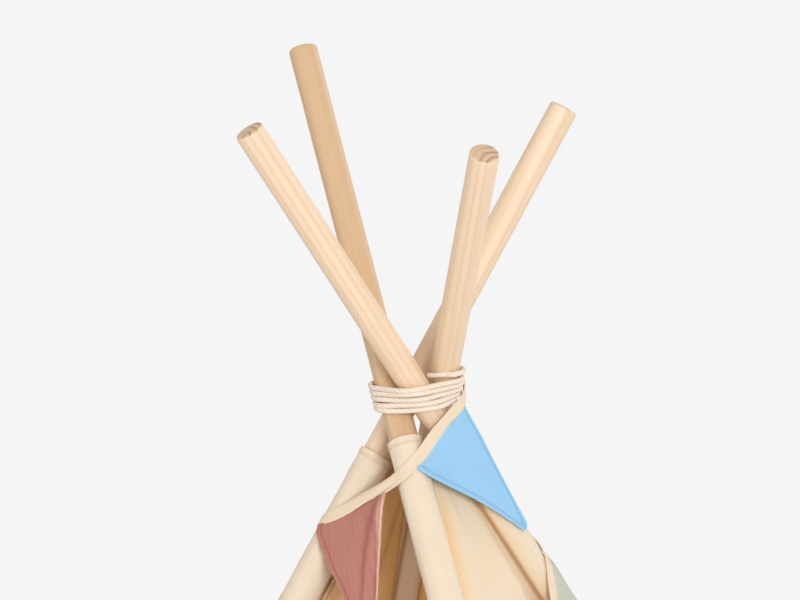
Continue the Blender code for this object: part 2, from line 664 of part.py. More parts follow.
def main():
    for obj in list(bpy.data.objects):
        bpy.data.objects.remove(obj, do_unlink=True)

    wood = material("pine", (0.90, 0.74, 0.53), 0.5)
    steel = material("ferrule_steel", (0.62, 0.62, 0.63), 0.3, 1.0)
    rubber = material("foot_rubber", (0.14, 0.13, 0.12), 0.8)
    canvas = material("cream_canvas", (0.93, 0.85, 0.70), 0.9)
    cotton = material("cotton_rope", (0.87, 0.80, 0.66), 0.9)
    white = material("end_tape", (0.92, 0.92, 0.90), 0.4)
    cloths = (material("pennant_blue", (0.38, 0.62, 0.84), 0.85),
              material("pennant_pink", (0.72, 0.36, 0.34), 0.85),
              material("pennant_sage", (0.62, 0.67, 0.55), 0.85))

    front_left = Pole("front_left", FRONT_LEFT_DEG, FRONT_LEFT_REACH, OTHER_SLEEVE_DROP)
    front_right = Pole("front_right", FRONT_RIGHT_DEG, FRONT_RIGHT_REACH, FRONT_RIGHT_SLEEVE_DROP,
                       FRONT_RIGHT_EXTRA)
    back_right = Pole("back_right", BACK_RIGHT_DEG, BACK_RIGHT_REACH, OTHER_SLEEVE_DROP)
    back_left = Pole("back_left", BACK_LEFT_DEG, BACK_LEFT_REACH, OTHER_SLEEVE_DROP)
    poles = (front_left, front_right, back_right, back_left)

    base = add_empty("teepee", (0, 0, 0))
    crown = add_empty("crown", (0, 0, CROSSING_HEIGHT), base)
    footprint = []
    for pole in poles:
        pole.empty = add_empty(pole.name + "_fold", pole.hinge, base)
        footprint += add_pole_pieces(pole, wood, steel, rubber, canvas)

    add_wall_half("left_wall_front", front_left, back_left, canvas)
    add_wall_half("left_wall_back", back_left, front_left, canvas)
    add_wall_half("back_wall_left", back_left, back_right, canvas)
    add_wall_half("back_wall_right", back_right, back_left, canvas)
    add_wall_half("right_wall_back", back_right, front_right, canvas)
    add_wall_half("right_wall_front", front_right, back_right, canvas)
    add_curtain("left_curtain", front_left, front_right, LEFT_CURTAIN_SHARES, canvas)
    add_curtain("right_curtain", front_right, front_left, RIGHT_CURTAIN_SHARES, canvas)
    add_tie("left_curtain_tie", front_left, front_right, LEFT_CURTAIN_SHARES, canvas)
    add_tie("right_curtain_tie", front_right, front_left, RIGHT_CURTAIN_SHARES, canvas)

    add_rope(poles, crown, cotton, white)
    stations, tape_length = bunting_stations(poles)
    print("bunting tape length, m:", round(tape_length, 3))
    order = (front_right, front_left, back_left, back_right, front_right)
    corners = (-360 + FRONT_LEFT_DEG, BACK_LEFT_DEG - 360, BACK_RIGHT_DEG - 360)
    edges = (FRONT_RIGHT_DEG - 360, *corners, FRONT_RIGHT_DEG - 720)
    cuts = [(a + b) / 2 for a, b in zip(edges, edges[1:])]
    compass = [station[3] for station in stations]
    marks = [0] + [next(i for i, c in enumerate(compass) if c < cut) for cut in cuts]
    marks.append(len(stations) - 1)
    names = ("bunting_tape_crown", "bunting_tape_front_left", "bunting_tape_back_left",
             "bunting_tape_back_right", "bunting_tape_end")
    add_tapes(poles, stations, list(zip(names, order, marks, marks[1:])), canvas)
    for i, color in enumerate(PENNANT_COLORS):
        start = FIRST_PENNANT + i * PENNANT_PITCH
        centre = int((start + PENNANT_WIDTH / 2) / TAPE_STEP)
        owner = order[sum(centre >= mark for mark in marks[1:-1])]
        add_pennant("pennant_%d" % (i + 1), poles, owner, stations, start, cloths[color])

    xs, ys = [p.x for p in footprint], [p.y for p in footprint]
    base.location = (-(min(xs) + max(xs)) / 2, -(min(ys) + max(ys)) / 2, 0)
    bpy.context.view_layer.update()
    print("crown above the origin by, m:", [round(v, 6) for v in base.location])


main()
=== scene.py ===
"""Kids teepee: the looks of its poles, rope lashing, cotton cover and bunting."""
from math import atan2, ceil, cos, degrees, exp, pi, radians, sin, sqrt, tan

import bmesh
import bpy
import numpy as np
from mathutils import Matrix, Vector, noise


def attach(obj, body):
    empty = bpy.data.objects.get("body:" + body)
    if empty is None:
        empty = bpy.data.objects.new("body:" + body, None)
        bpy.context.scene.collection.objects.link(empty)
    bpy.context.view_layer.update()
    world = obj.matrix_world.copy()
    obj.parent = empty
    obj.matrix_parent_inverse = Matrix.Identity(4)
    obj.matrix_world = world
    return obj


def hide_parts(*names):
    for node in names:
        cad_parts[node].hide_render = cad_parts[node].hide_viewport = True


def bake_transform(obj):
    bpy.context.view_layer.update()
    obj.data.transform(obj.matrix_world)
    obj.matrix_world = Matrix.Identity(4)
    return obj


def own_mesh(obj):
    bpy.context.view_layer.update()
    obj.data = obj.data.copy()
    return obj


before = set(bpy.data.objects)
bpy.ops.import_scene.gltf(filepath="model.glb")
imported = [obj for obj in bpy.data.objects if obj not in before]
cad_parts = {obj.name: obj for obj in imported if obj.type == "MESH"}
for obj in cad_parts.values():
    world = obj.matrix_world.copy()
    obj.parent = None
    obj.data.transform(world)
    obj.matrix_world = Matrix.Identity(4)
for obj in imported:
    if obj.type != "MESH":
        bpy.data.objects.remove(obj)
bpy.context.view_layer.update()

# ---------------------------------------------------------------- the frame's lines, as in the CAD

CROWN = Vector((0.032232, -0.086894, 1.277))
POLE_RADIUS = 0.015
POLE_LENGTH = 1.840
POLE_OFFSET = 0.025
HINGE_RISE = 0.0065
SLEEVE_RADIUS = 0.0178
COVER_TOP = CROWN.z - 0.062
HEM_HEIGHT = 0.020
CLOTH = 0.0008
FOLD_HEIGHT = 0.6


class Pole:
    """One pole's line, its sleeve's top and how far it folds in."""

    def __init__(self, name, azimuth, reach, sleeve_drop, fold, seed, length=POLE_LENGTH):
        turn = radians(azimuth)
        self.name, self.sleeve_drop, self.fold, self.seed = name, sleeve_drop, fold, seed
        self.body, self.joint = name + "_pole", name + "_fold"
        self.out = Vector((cos(turn), sin(turn), 0))
        self.side = Vector((-sin(turn), cos(turn), 0))
        self.foot = Vector((CROWN.x, CROWN.y, 0)) + self.out * reach - self.side * POLE_OFFSET
        self.crossing = CROWN - self.side * POLE_OFFSET
        self.up = (self.crossing - self.foot).normalized()
        self.below = (self.crossing - self.foot).length
        self.length = length
        self.tilt = atan2(reach, CROWN.z)
        self.turned = Matrix((self.side.cross(self.up), self.side, self.up)).transposed()
        self.hinge = self.at(CROWN.z + HINGE_RISE)

    def at(self, height):
        return self.crossing + self.up * ((height - CROWN.z) / self.up.z)

    def local(self, x, y, z):
        return self.foot + self.turned @ Vector((x, y, z))

    def along(self, point):
        """How far up the pole from its foot a point lies."""
        return (point - self.foot).dot(self.up)


FL = Pole("front_left", 218.4, 0.7945, 0.070, 21.8, 1)
FR = Pole("front_right", 318.0, 0.692, 0.042, 18.37, 2, 1.846)
BR = Pole("back_right", 44.0, 0.774, 0.070, 21.12, 3)
BL = Pole("back_left", 128.0, 0.811, 0.070, 22.31, 4)
POLES = (FL, FR, BR, BL)


def side_frame(pole, other, height):
    """Start point, run direction, width and outward direction of the cover between two poles."""
    start, stop = pole.at(height), other.at(height)
    run = stop - start
    width = run.length
    run.normalize()
    outward = run.cross((pole.up + other.up).normalized()).normalized()
    if outward.dot(pole.out + other.out) < 0:
        outward.negate()
    return start, run, width, outward


def smooth(share):
    share = min(max(share, 0.0), 1.0)
    return share * share * (3 - 2 * share)


def bell(away, spread, power=2):
    return exp(-(away / spread) ** power)


def uneven(x, y, z):
    return noise.noise(Vector((x, y, z)))


def table_value(table, share):
    """The value at a share, eased between the table's pairs."""
    for (x0, y0), (x1, y1) in zip(table, table[1:]):
        if share <= x1:
            return y0 + (y1 - y0) * smooth((share - x0) / (x1 - x0))
    return table[-1][1]


def fold_with(piece, pole, other=None, keep=None):
    """Rides the pole; with a second pole it works out, in the plane of the side between, how much it would
    keep as the poles close, and takes its own mesh, but isn't gathered towards the pole.
    """
    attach(piece, pole.body)
    if other is None:
        return
    _, run, _, _ = side_frame(pole, other, FOLD_HEIGHT)
    across = (run - pole.up * run.dot(pole.up)).normalized()
    if keep is None:
        shut = [Matrix.Rotation(radians(p.fold), 3, p.side) @ p.up for p in (pole, other)]
        keep = tan(shut[0].angle(shut[1]) / 2) / tan(pole.up.angle(other.up) / 2)
    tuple(pole.hinge)
    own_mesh(piece)


def fold_all(pieces, slot, pole, other=None, keep=None):
    """Passes each piece to fold_with, so it rides the pole."""
    for piece in pieces:
        fold_with(piece, pole, other, keep)


# ---------------------------------------------------------------- materials

def nodes_of(name):
    mat = bpy.data.materials.new(name)
    mat.use_nodes = True
    return mat, mat.node_tree, mat.node_tree.nodes["Principled BSDF"]


def feed(tree, node, values):
    """Links a node's inputs to other sockets, or gives them plain values; a colour may have three."""
    for key, value in values.items():
        if isinstance(value, bpy.types.NodeSocket):
            tree.links.new(value, node.inputs[key])
        elif node.inputs[key].type == "RGBA":
            node.inputs[key].default_value = (*value, 1.0)
        else:
            node.inputs[key].default_value = value
    return node


def add(tree, kind, values=None, **settings):
    made = tree.nodes.new(kind)
    for key, value in settings.items():
        setattr(made, key, value)
    return feed(tree, made, values or {})


def mixed(tree, share, one, two):
    return add(tree, "ShaderNodeMix", {0: share, 6: one, 7: two}, data_type="RGBA").outputs[2]


def figure(tree, kind, *values):
    return add(tree, "ShaderNodeMath", dict(enumerate(values)), operation=kind).outputs[0]


def ranged(tree, value, low, high, to_low=0.0, to_high=1.0):
    return add(tree, "ShaderNodeMapRange", {"Value": value, "From Min": low, "From Max": high,
                                            "To Min": to_low, "To Max": to_high}).outputs[0]


def speckle(tree, where, scale, detail=2.0, rough=0.5):
    return add(tree, "ShaderNodeTexNoise", {"Vector": where, "Scale": scale, "Detail": detail,
                                            "Roughness": rough}).outputs["Fac"]


def object_place(tree):
    return add(tree, "ShaderNodeTexCoord").outputs["Object"]


def moved(tree, where, **links):
    names = {"place": "Location", "turn": "Rotation", "size": "Scale"}
    return add(tree, "ShaderNodeMapping",
               {"Vector": where, **{names[k]: v for k, v in links.items()}}).outputs[0]


def marked(tree, name):
    return add(tree, "ShaderNodeAttribute", attribute_name=name).outputs["Fac"]


def bump(tree, height, strength, distance):
    return add(tree, "ShaderNodeBump",
               {"Height": height, "Strength": strength, "Distance": distance}).outputs[0]


def blend_in(tree, share, shader, other):
    """Blends the material's shader with another by a share."""
    both = add(tree, "ShaderNodeMixShader", {0: share, 1: shader.outputs[0], 2: other.outputs[0]})
    feed(tree, tree.nodes["Material Output"], {"Surface": both.outputs[0]})


def tinted(color, by):
    return [c * d for c, d in zip(color, by)]


PALE_PINE, TAN_PINE = (0.900, 0.700, 0.500), (0.690, 0.455, 0.250)
SAWN_PINE, SAWN_PORES, SAWN_ARCS = (0.740, 0.525, 0.335), (0.600, 0.390, 0.230), (0.380, 0.200, 0.090)
RING_SCALE = 44.0
FIBRE_SCALE = 950.0
PORE_SCALE = 1500.0


def pine(pole, tan_share, arc_turn):
    """Bare sanded pine: growth rings cut along the pole, fine fibre, a sawn end with growth arcs."""
    mat, tree, shader = nodes_of("pine_" + pole.name)
    along = add(tree, "ShaderNodeMapping", {"Vector": object_place(tree), "Location": pole.foot,
                                            "Rotation": pole.turned.to_euler()},
                vector_type="TEXTURE").outputs[0]
    lean = 0.006 * sin(pole.seed * 2.1), 0.006 * cos(pole.seed * 1.7)
    long_way = moved(tree, along, size=(1.0, 1.0, 0.05), place=(0.1 * pole.seed, 0.37 * pole.seed, 0.0))
    wander = speckle(tree, long_way, 26.0, 3.0)
    heart = moved(tree, along, place=(0.026 + lean[0], 0.019 + lean[1], 0.0), turn=(0.012, -0.009, 0.0))
    swayed = add(tree, "ShaderNodeVectorMath", {0: heart, 1: mixed(tree, 0.011, (0, 0, 0), wander)},
                 operation="ADD")
    rings = add(tree, "ShaderNodeTexWave", {"Vector": swayed.outputs[0], "Scale": RING_SCALE,
                                            "Distortion": 0.8, "Detail": 1.0, "Detail Scale": 20.0},
                wave_type="RINGS", rings_direction="Z", wave_profile="SAW").outputs["Fac"]
    late = ranged(tree, rings, 0.45, 1.0)
    fibre = speckle(tree, moved(tree, along, size=(1.0, 1.0, 0.018)), FIBRE_SCALE, 3.0, 0.65)
    broad = speckle(tree, long_way, 70.0, 2.0)
    pale = [a + (b - a) * tan_share for a, b in zip(PALE_PINE, TAN_PINE)]
    tone = mixed(tree, figure(tree, "MULTIPLY", late, 0.62), pale, tinted(pale, (0.84, 0.73, 0.60)))
    tone = mixed(tree, ranged(tree, broad, 0.38, 0.68, 0.0, 0.50), tone, tinted(pale, (0.89, 0.80, 0.71)))
    tone = mixed(tree, ranged(tree, fibre, 0.45, 0.75, 0.0, 0.22), tone, tinted(pale, (0.78, 0.66, 0.55)))
    height = add(tree, "ShaderNodeSeparateXYZ", {0: along}).outputs[2]
    end = ranged(tree, height, pole.length - 0.0016, pole.length - 0.0004)
    pores = ranged(tree, speckle(tree, along, PORE_SCALE, 2.0), 0.4, 0.7)
    sawn = mixed(tree, figure(tree, "MULTIPLY", pores, 0.4), SAWN_PINE, SAWN_PORES)
    toward = add(tree, "ShaderNodeVectorMath", {0: along, 1: (cos(arc_turn), sin(arc_turn), 0.0)},
                 operation="DOT_PRODUCT").outputs["Value"]
    arcs = figure(tree, "MULTIPLY", late, ranged(tree, toward, -0.006, 0.003, 0.15, 1.0))
    tone = mixed(tree, end, tone, mixed(tree, arcs, sawn, SAWN_ARCS))
    feed(tree, shader, {"Base Color": tone, "Roughness": ranged(tree, fibre, 0.3, 0.7, 0.46, 0.60),
                        "Normal": bump(tree, fibre, 0.25, 0.0004)})
    return mat


def woven(name, color, deep, pitch, glow=0.0, streak=0.3, across=0.5, warm=None, crease=None):
    """Plain weave on its own map in metres: crossing threads, slubs, valleys warmer with a painted glow,
    creases darker with painted shade.
    """
    mat, tree, shader = nodes_of(name)
    flat = add(tree, "ShaderNodeUVMap", uv_map="cloth").outputs[0]
    warp, weft = (add(tree, "ShaderNodeTexWave", {"Vector": flat, "Scale": 0.314 / pitch,
                                                  "Distortion": 1.1, "Detail": 1.0, "Detail Scale": 3.0},
                      bands_direction=way).outputs["Fac"] for way in "XY")
    threads = figure(tree, "MULTIPLY", warp, weft)
    slub_x, slub_y = (speckle(tree, moved(tree, flat, size=size), 1 / (pitch * 2.2), 2.0)
                      for size in ((1.0, 0.03, 1.0), (0.03, 1.0, 1.0)))
    slubs = figure(tree, "ADD", figure(tree, "MULTIPLY", slub_x, 1 - across),
                   figure(tree, "MULTIPLY", slub_y, across))
    cloudy = speckle(tree, object_place(tree), 22.0, 3.0)
    tone = mixed(tree, ranged(tree, slubs, 0.42, 0.62, 0.0, streak), color, deep)
    tone = mixed(tree, ranged(tree, threads, 0.15, 0.0, 0.0, 0.25), tone, deep)
    tone = mixed(tree, ranged(tree, cloudy, 0.40, 0.70, 0.0, 0.18), tone, deep)
    # The first mark is a painted glow for light bounced and let through the cloth (on the pink cloth, its
    # paler left edge); the second is painted shade in creases
    for mark, shade in (("warm", warm), ("crease", crease)):
        if shade:
            tone = mixed(tree, marked(tree, mark), tone, shade)
    relief = figure(tree, "ADD", threads, figure(tree, "MULTIPLY", slubs, 1.4))
    feed(tree, shader, {"Base Color": tone, "Roughness": 0.92, "Specular IOR Level": 0.2,
                        "Normal": bump(tree, relief, 0.30, pitch)})
    if glow:
        blend_in(tree, glow, shader, add(tree, "ShaderNodeBsdfTranslucent", {"Color": warm}))
    return mat


# The third colour is painted shade for the grooves between the strands
ROPE_PALE, ROPE_DEEP, ROPE_GROOVE_SHADE = (0.930, 0.800, 0.665), (0.850, 0.700, 0.550), (0.660, 0.470, 0.310)


def twisted_cotton():
    """The rope's yarn: slanting hairs, fuzz, and painted shade darkening the groove between the strands."""
    mat, tree, shader = nodes_of("twisted_cotton")
    flat = add(tree, "ShaderNodeUVMap", uv_map="cloth").outputs[0]
    yarn = speckle(tree, moved(tree, flat, size=(1.0, 0.06, 1.0), turn=(0.0, 0.0, 0.5)), 2600.0, 2.0)
    fuzz = speckle(tree, object_place(tree), 900.0, 3.0)
    tone = mixed(tree, ranged(tree, yarn, 0.35, 0.7, 0.0, 0.35), ROPE_PALE, ROPE_DEEP)
    tone = mixed(tree, figure(tree, "MULTIPLY", marked(tree, "groove"), 0.25), tone, ROPE_GROOVE_SHADE)
    feed(tree, shader, {"Base Color": tone, "Roughness": 0.95, "Specular IOR Level": 0.15,
                        "Sheen Weight": 0.15,
                        "Normal": bump(tree, figure(tree, "ADD", yarn, fuzz), 0.5, 0.0006)})
    return mat


def plain(name, color, rough, mottle, scale, metallic=0.0, stretch=(1.0, 1.0, 1.0)):
    """A moulded, drawn or spun finish with a fine uneven surface."""
    mat, tree, shader = nodes_of(name)
    fine = speckle(tree, moved(tree, object_place(tree), size=stretch), scale, 3.0)
    feed(tree, shader, {"Base Color": mixed(tree, ranged(tree, fine, 0.35, 0.7), color, mottle),
                        "Roughness": ranged(tree, fine, 0.3, 0.7, rough - 0.07, rough + 0.07),
                        "Metallic": metallic, "Normal": bump(tree, fine, 0.3, 0.0002)})
    return mat


def spun(name, color, mottle):
    return plain(name, color, 0.85, mottle, 3000.0)


WOOD = {FL: pine(FL, 0.0, 2.2), FR: pine(FR, 0.9, 0.6), BR: pine(BR, 0.06, -0.9), BL: pine(BL, 0.04, -2.2)}
STEEL = plain("drawn_steel", (0.62, 0.62, 0.63), 0.32, (0.52, 0.52, 0.53), 700.0, 1.0, (1.0, 1.0, 0.03))
RUBBER = plain("moulded_rubber", (0.035, 0.033, 0.031), 0.72, (0.055, 0.052, 0.048), 900.0)
END_TAPE = plain("satin_tape", (0.90, 0.89, 0.87), 0.38, (0.84, 0.82, 0.79), 500.0)
THREAD = spun("sewing_thread", (0.86, 0.76, 0.60), (0.74, 0.62, 0.46))
# The canvas's orange is the colour of a painted glow in its valleys, its dark brown the colour of painted
# shade in creases
CANVAS = woven("cotton_canvas", (0.965, 0.830, 0.650), (0.900, 0.725, 0.510), 0.0007, glow=0.13,
               warm=(0.950, 0.610, 0.250), crease=(0.430, 0.200, 0.070))
TAPE_CLOTH = woven("folded_tape", (0.895, 0.725, 0.540), (0.810, 0.625, 0.430), 0.0005)
ROPE = twisted_cotton()
# Each flag's last colour is painted shade for its creases; the pink's paler colour is its left edge
BLUE = woven("blue_cotton", (0.345, 0.610, 0.840), (0.290, 0.550, 0.790), 0.0006, streak=0.25,
             crease=(0.170, 0.370, 0.600))
PINK = woven("rose_linen", (0.555, 0.240, 0.190), (0.450, 0.170, 0.132), 0.0007, streak=0.55, across=0.2,
             warm=(0.860, 0.490, 0.400), crease=(0.330, 0.110, 0.085))
SAGE = woven("sage_linen", (0.610, 0.610, 0.490), (0.500, 0.520, 0.400), 0.0009, streak=0.5, across=0.2,
             crease=(0.360, 0.380, 0.270))
BLUE_THREAD = spun("blue_thread", (0.300, 0.560, 0.800), (0.220, 0.470, 0.720))
PINK_THREAD = spun("rose_thread", (0.560, 0.240, 0.220), (0.460, 0.180, 0.170))
SAGE_THREAD = spun("sage_thread", (0.520, 0.560, 0.430), (0.440, 0.480, 0.360))


# ---------------------------------------------------------------- ways of making a piece

def only(obj):
    bpy.ops.object.select_all(action="DESELECT")
    obj.select_set(True)
    bpy.context.view_layer.objects.active = obj
    return obj


def finished(obj, mat, angle):
    """Settles the piece's place into its mesh, smooths it and gives it its finish."""
    only(obj)
    bpy.ops.object.transform_apply(location=True, rotation=True, scale=True)
    bpy.ops.object.shade_smooth_by_angle(angle=radians(angle))
    obj.data.materials.clear()
    obj.data.materials.append(mat)
    return obj


def rides_as(obj, body, node):
    """The piece moves with its body, and stands for the CAD's node."""
    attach(obj, body)
    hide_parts(node)


def in_edit_mode(obj):
    only(obj)
    bpy.ops.object.mode_set(mode="EDIT")


def pick(obj, kind, test):
    """Selects the edges or faces that pass a test, in edit mode."""
    bm = bmesh.from_edit_mesh(obj.data)
    for group in (bm.verts, bm.edges, bm.faces):
        for item in group:
            item.select = False
    bpy.context.tool_settings.mesh_select_mode = (False, kind == "edges", kind == "faces")
    for item in getattr(bm, kind):
        if test(item):
            item.select_set(True)
    bmesh.update_edit_mesh(obj.data)


def turn_outwards():
    """Turns the faces of the mesh in edit mode outwards, and leaves edit mode."""
    bpy.ops.mesh.select_all(action="SELECT")
    bpy.ops.mesh.normals_make_consistent(inside=False)
    bpy.ops.object.mode_set(mode="OBJECT")


def cylinder(name, radius, depth, place, turned, sides):
    """A cylinder in edit mode, its place already in its mesh."""
    bpy.ops.object.select_all(action="DESELECT")
    bpy.ops.mesh.primitive_cylinder_add(vertices=sides, radius=radius, depth=depth, location=place,
                                        rotation=turned.to_euler())
    obj = bpy.context.active_object
    obj.name = obj.data.name = name
    bpy.ops.object.transform_apply(location=True, rotation=True, scale=True)
    bpy.ops.object.mode_set(mode="EDIT")
    return obj


def rod(name, pole, low, high, radius, sides=48):
    """A cylinder along a pole, from low to high above its foot."""
    return cylinder(name, radius, high - low, pole.local(0, 0, (low + high) / 2), pole.turned, sides)


def linked(name, data):
    obj = bpy.data.objects.new(name, data)
    bpy.context.collection.objects.link(obj)
    return obj


def mesh_object(name, verts, faces, corners=()):
    mesh = bpy.data.meshes.new(name)
    mesh.from_pydata([tuple(v) for v in verts], [], faces)
    if corners:
        layer = mesh.uv_layers.new(name="cloth")
        layer.data.foreach_set("uv", np.array(corners, dtype=np.float32).ravel())
    return linked(name, mesh)


def set_mark(obj, name, values):
    data = obj.data.attributes.new(name, "FLOAT", "POINT").data
    data.foreach_set("value", np.clip(values, 0, 1).astype(np.float32))


def lofted(rows, maps, closed):
    """Faces between successive rows of points, and the map's place at each of their corners."""
    width = len(rows[0])
    faces, corners = [], []
    for r in range(len(rows) - 1):
        for k in range(width if closed else width - 1):
            n = (k + 1) % width
            faces.append((r * width + k, r * width + n, (r + 1) * width + n, (r + 1) * width + k))
            corners += [maps[r][k], maps[r][k + 1], maps[r + 1][k + 1], maps[r + 1][k]]
    return faces, corners


def sheet_object(name, rows, maps, mat, thickness=CLOTH, closed=False, offset=0.0, marks=None, painted_inner_glow=0.0):
    """A sheet through rows of points, with its cut's own map in metres, given its thickness.

    marks holds a pair for each point: how much painted glow it takes for lying deep in a valley, and how
    much painted shade for lying deep in a fold; on the flags the first is the paler left edge, which only
    the pink cloth shows.
    The last argument is how much painted glow the face towards the middle takes, where daylight comes
    through."""
    obj = mesh_object(name, [p for row in rows for p in row], *lofted(rows, maps, closed))
    for i, mark in enumerate(("warm", "crease") if marks else ()):
        set_mark(obj, mark, [pair[i] for row in marks for pair in row])
    if thickness:
        only(obj)
        mod = obj.modifiers.new("thickness", "SOLIDIFY")
        mod.thickness, mod.offset = thickness, offset
        bpy.ops.object.modifier_apply(modifier=mod.name)
    # a painted glow for daylight let through, on the face towards the middle, fading down from the crown
    if painted_inner_glow:
        count = len(obj.data.vertices) // 2
        verts, warm = obj.data.vertices, obj.data.attributes["warm"].data
        for pair in zip(range(count), range(count, 2 * count)):
            nearer = min(pair, key=lambda k: (verts[k].co - CROWN).xy.length)
            glow = painted_inner_glow * exp(-(CROWN.z - verts[nearer].co.z) / 0.7)
            warm[nearer].value = min(1.0, warm[nearer].value + glow)
    return finished(obj, mat, 50)


def full_turn(count):
    return [2 * pi * k / count for k in range(count + 1)]


def run_length(points):
    return [0.0] + list(np.cumsum([(q - p).length for p, q in zip(points, points[1:])]))


STITCH_SIDES = 6
# a ring's place along the stitch, its thickness and its lift
STITCH = ((-0.5, 0.35, -0.6), (-0.34, 0.9, 0.35), (0.0, 1.0, 0.75), (0.34, 0.9, 0.35), (0.5, 0.35, -0.6))


def sewn_line(name, points, normals, mat=THREAD, pitch=0.0044, length=0.0031, radius=0.00032):
    """Stitches along a seam: short threads that rise from the cloth and dip back in."""
    places = np.array([tuple(p) for p in points])
    ups = np.array([tuple(n) for n in normals])
    marks = np.array(run_length(points))
    ring = [(cos(turn), sin(turn)) for turn in full_turn(STITCH_SIDES)[:-1]]
    verts, faces = [], []

    def at(mark, values):
        return np.array([np.interp(mark, marks, values[:, i]) for i in range(3)])

    for mark in (np.arange(int(marks[-1] / pitch)) + 0.5) * pitch:
        here = at(mark, places)
        course = at(mark + pitch * 0.2, places) - here
        course /= np.linalg.norm(course)
        up = at(mark, ups)
        up -= course * up.dot(course)
        up /= np.linalg.norm(up)
        wide = np.cross(course, up)
        base = len(verts)
        for share, size, lift in STITCH:
            centre = here + course * (share * length) + up * (lift * radius)
            verts += [centre + (wide * x + up * y) * size * radius for x, y in ring]
        for s in range(len(STITCH) - 1):
            for i in range(STITCH_SIDES):
                a, b = base + s * STITCH_SIDES + i, base + s * STITCH_SIDES + (i + 1) % STITCH_SIDES
                faces.append((a, b, b + STITCH_SIDES, a + STITCH_SIDES))
        faces.append(tuple(base + i for i in reversed(range(STITCH_SIDES))))
        faces.append(tuple(base + (len(STITCH) - 1) * STITCH_SIDES + i for i in range(STITCH_SIDES)))
    obj = finished(mesh_object(name, verts, faces), mat, 60)
    in_edit_mode(obj)
    turn_outwards()
    return obj



# ---------------------------------------------------------------- poles, ferrules and feet

SOLE_THICKNESS = 0.003
JOINT_GAP = 0.0002
TOP_EDGE, JOINT_EDGE = 0.0030, 0.0010
SANDING = 0.00016
CAP_LOW, CAP_HIGH, CAP_SIDES = -0.022, 0.036, 56
CAP_BORE, CAP_DEPTH = 0.0153, 0.018
GRIP_GROOVES, GROOVE_WIDTH = (0.0145, 0.0218), 0.0036


def lengthwise(pole, least):
    """A test for the edges that run along the pole for more than the least length."""
    return lambda e: abs(pole.along(e.verts[0].co) - pole.along(e.verts[1].co)) > least


def higher(pole, height):
    """A test for the edges or faces whose corners all lie higher up the pole."""
    return lambda item: all(pole.along(v.co) > height for v in item.verts)


def add_poles():
    for pole in POLES:
        base = (SOLE_THICKNESS + POLE_RADIUS * sin(pole.tilt)) / cos(pole.tilt)
        joint = base + (pole.length - base) / 2
        obj = rod(pole.name + "_upper_length", pole, joint + JOINT_GAP, pole.length, POLE_RADIUS)
        pick(obj, "edges", lengthwise(pole, 0.1))
        bpy.ops.mesh.subdivide(number_cuts=45)
        pick(obj, "edges", higher(pole, pole.length - 0.0001))
        bpy.ops.mesh.bevel(offset=TOP_EDGE, segments=5, affect="EDGES")
        pick(obj, "edges", lambda e: all(pole.along(v.co) < joint + 0.0003 for v in e.verts))
        bpy.ops.mesh.bevel(offset=JOINT_EDGE, segments=2, affect="EDGES")
        pick(obj, "faces", lambda f: pole.along(f.calc_center_median()) > pole.length - 0.0001)
        bpy.ops.mesh.inset(thickness=0.0008, depth=-0.00005)
        bpy.ops.object.mode_set(mode="OBJECT")
        for vert in obj.data.vertices:
            around = vert.co - pole.local(0, 0, pole.along(vert.co))
            if around.length > 0.004:
                wave = uneven(vert.co.x * 60, vert.co.y * 60, vert.co.z * 9 + pole.seed * 7)
                vert.co += around.normalized() * SANDING * (wave - 0.6)
        rides_as(finished(obj, WOOD[pole], 40), pole.body, pole.name + "_upper_pole")
        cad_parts[pole.name + "_lower_pole"].material_slots[0].material = WOOD[pole]
        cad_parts[pole.name + "_ferrule"].material_slots[0].material = STEEL


def in_groove(pole, face, low):
    """Whether a face of the cap's outer wall lies in the groove that starts this high."""
    middle = face.calc_center_median()
    height = pole.along(middle)
    return (low < height < low + GROOVE_WIDTH and abs(face.normal.dot(pole.up)) < 0.2
            and (middle - pole.local(0, 0, height)).length > 0.017)


def add_foot_caps():
    for pole in POLES:
        cap = rod(pole.name + "_rubber_foot", pole, CAP_LOW, CAP_HIGH, SLEEVE_RADIUS, CAP_SIDES)
        rim = higher(pole, CAP_HIGH - 0.0001)
        pick(cap, "faces", rim)
        bpy.ops.mesh.inset(thickness=SLEEVE_RADIUS - CAP_BORE, depth=0)
        bpy.ops.mesh.extrude_region_move(TRANSFORM_OT_translate={"value": pole.up * -CAP_DEPTH})
        pick(cap, "edges", lengthwise(pole, 0.04))
        bpy.ops.mesh.subdivide(number_cuts=15)
        for low in GRIP_GROOVES:
            pick(cap, "faces", lambda f: in_groove(pole, f, low))
            bpy.ops.mesh.inset(thickness=0.0004, depth=-0.0007)
        bpy.ops.mesh.select_all(action="SELECT")
        bpy.ops.mesh.bisect(plane_co=(0, 0, 0), plane_no=(0, 0, 1), use_fill=True, clear_inner=True)
        pick(cap, "edges", lambda e: all(v.co.z < 0.0001 for v in e.verts)
             and len({f.normal.z < -0.9 for f in e.link_faces}) == 2)
        bpy.ops.mesh.bevel(offset=0.0009, segments=3, affect="EDGES")
        pick(cap, "edges", lambda e: rim(e)
             and len({f.normal.dot(pole.up) > 0.9 for f in e.link_faces}) == 2)
        bpy.ops.mesh.bevel(offset=0.0008, segments=3, affect="EDGES")
        turn_outwards()
        rides_as(finished(cap, RUBBER, 32), pole.body, pole.name + "_foot_cap")


# ---------------------------------------------------------------- cover: sleeves, walls, curtains

SLEEVE_LOW, SLEEVE_SIDES, SLEEVE_HEM = 0.0365, 56, 0.0064
SLEEVE_STITCHES = 90


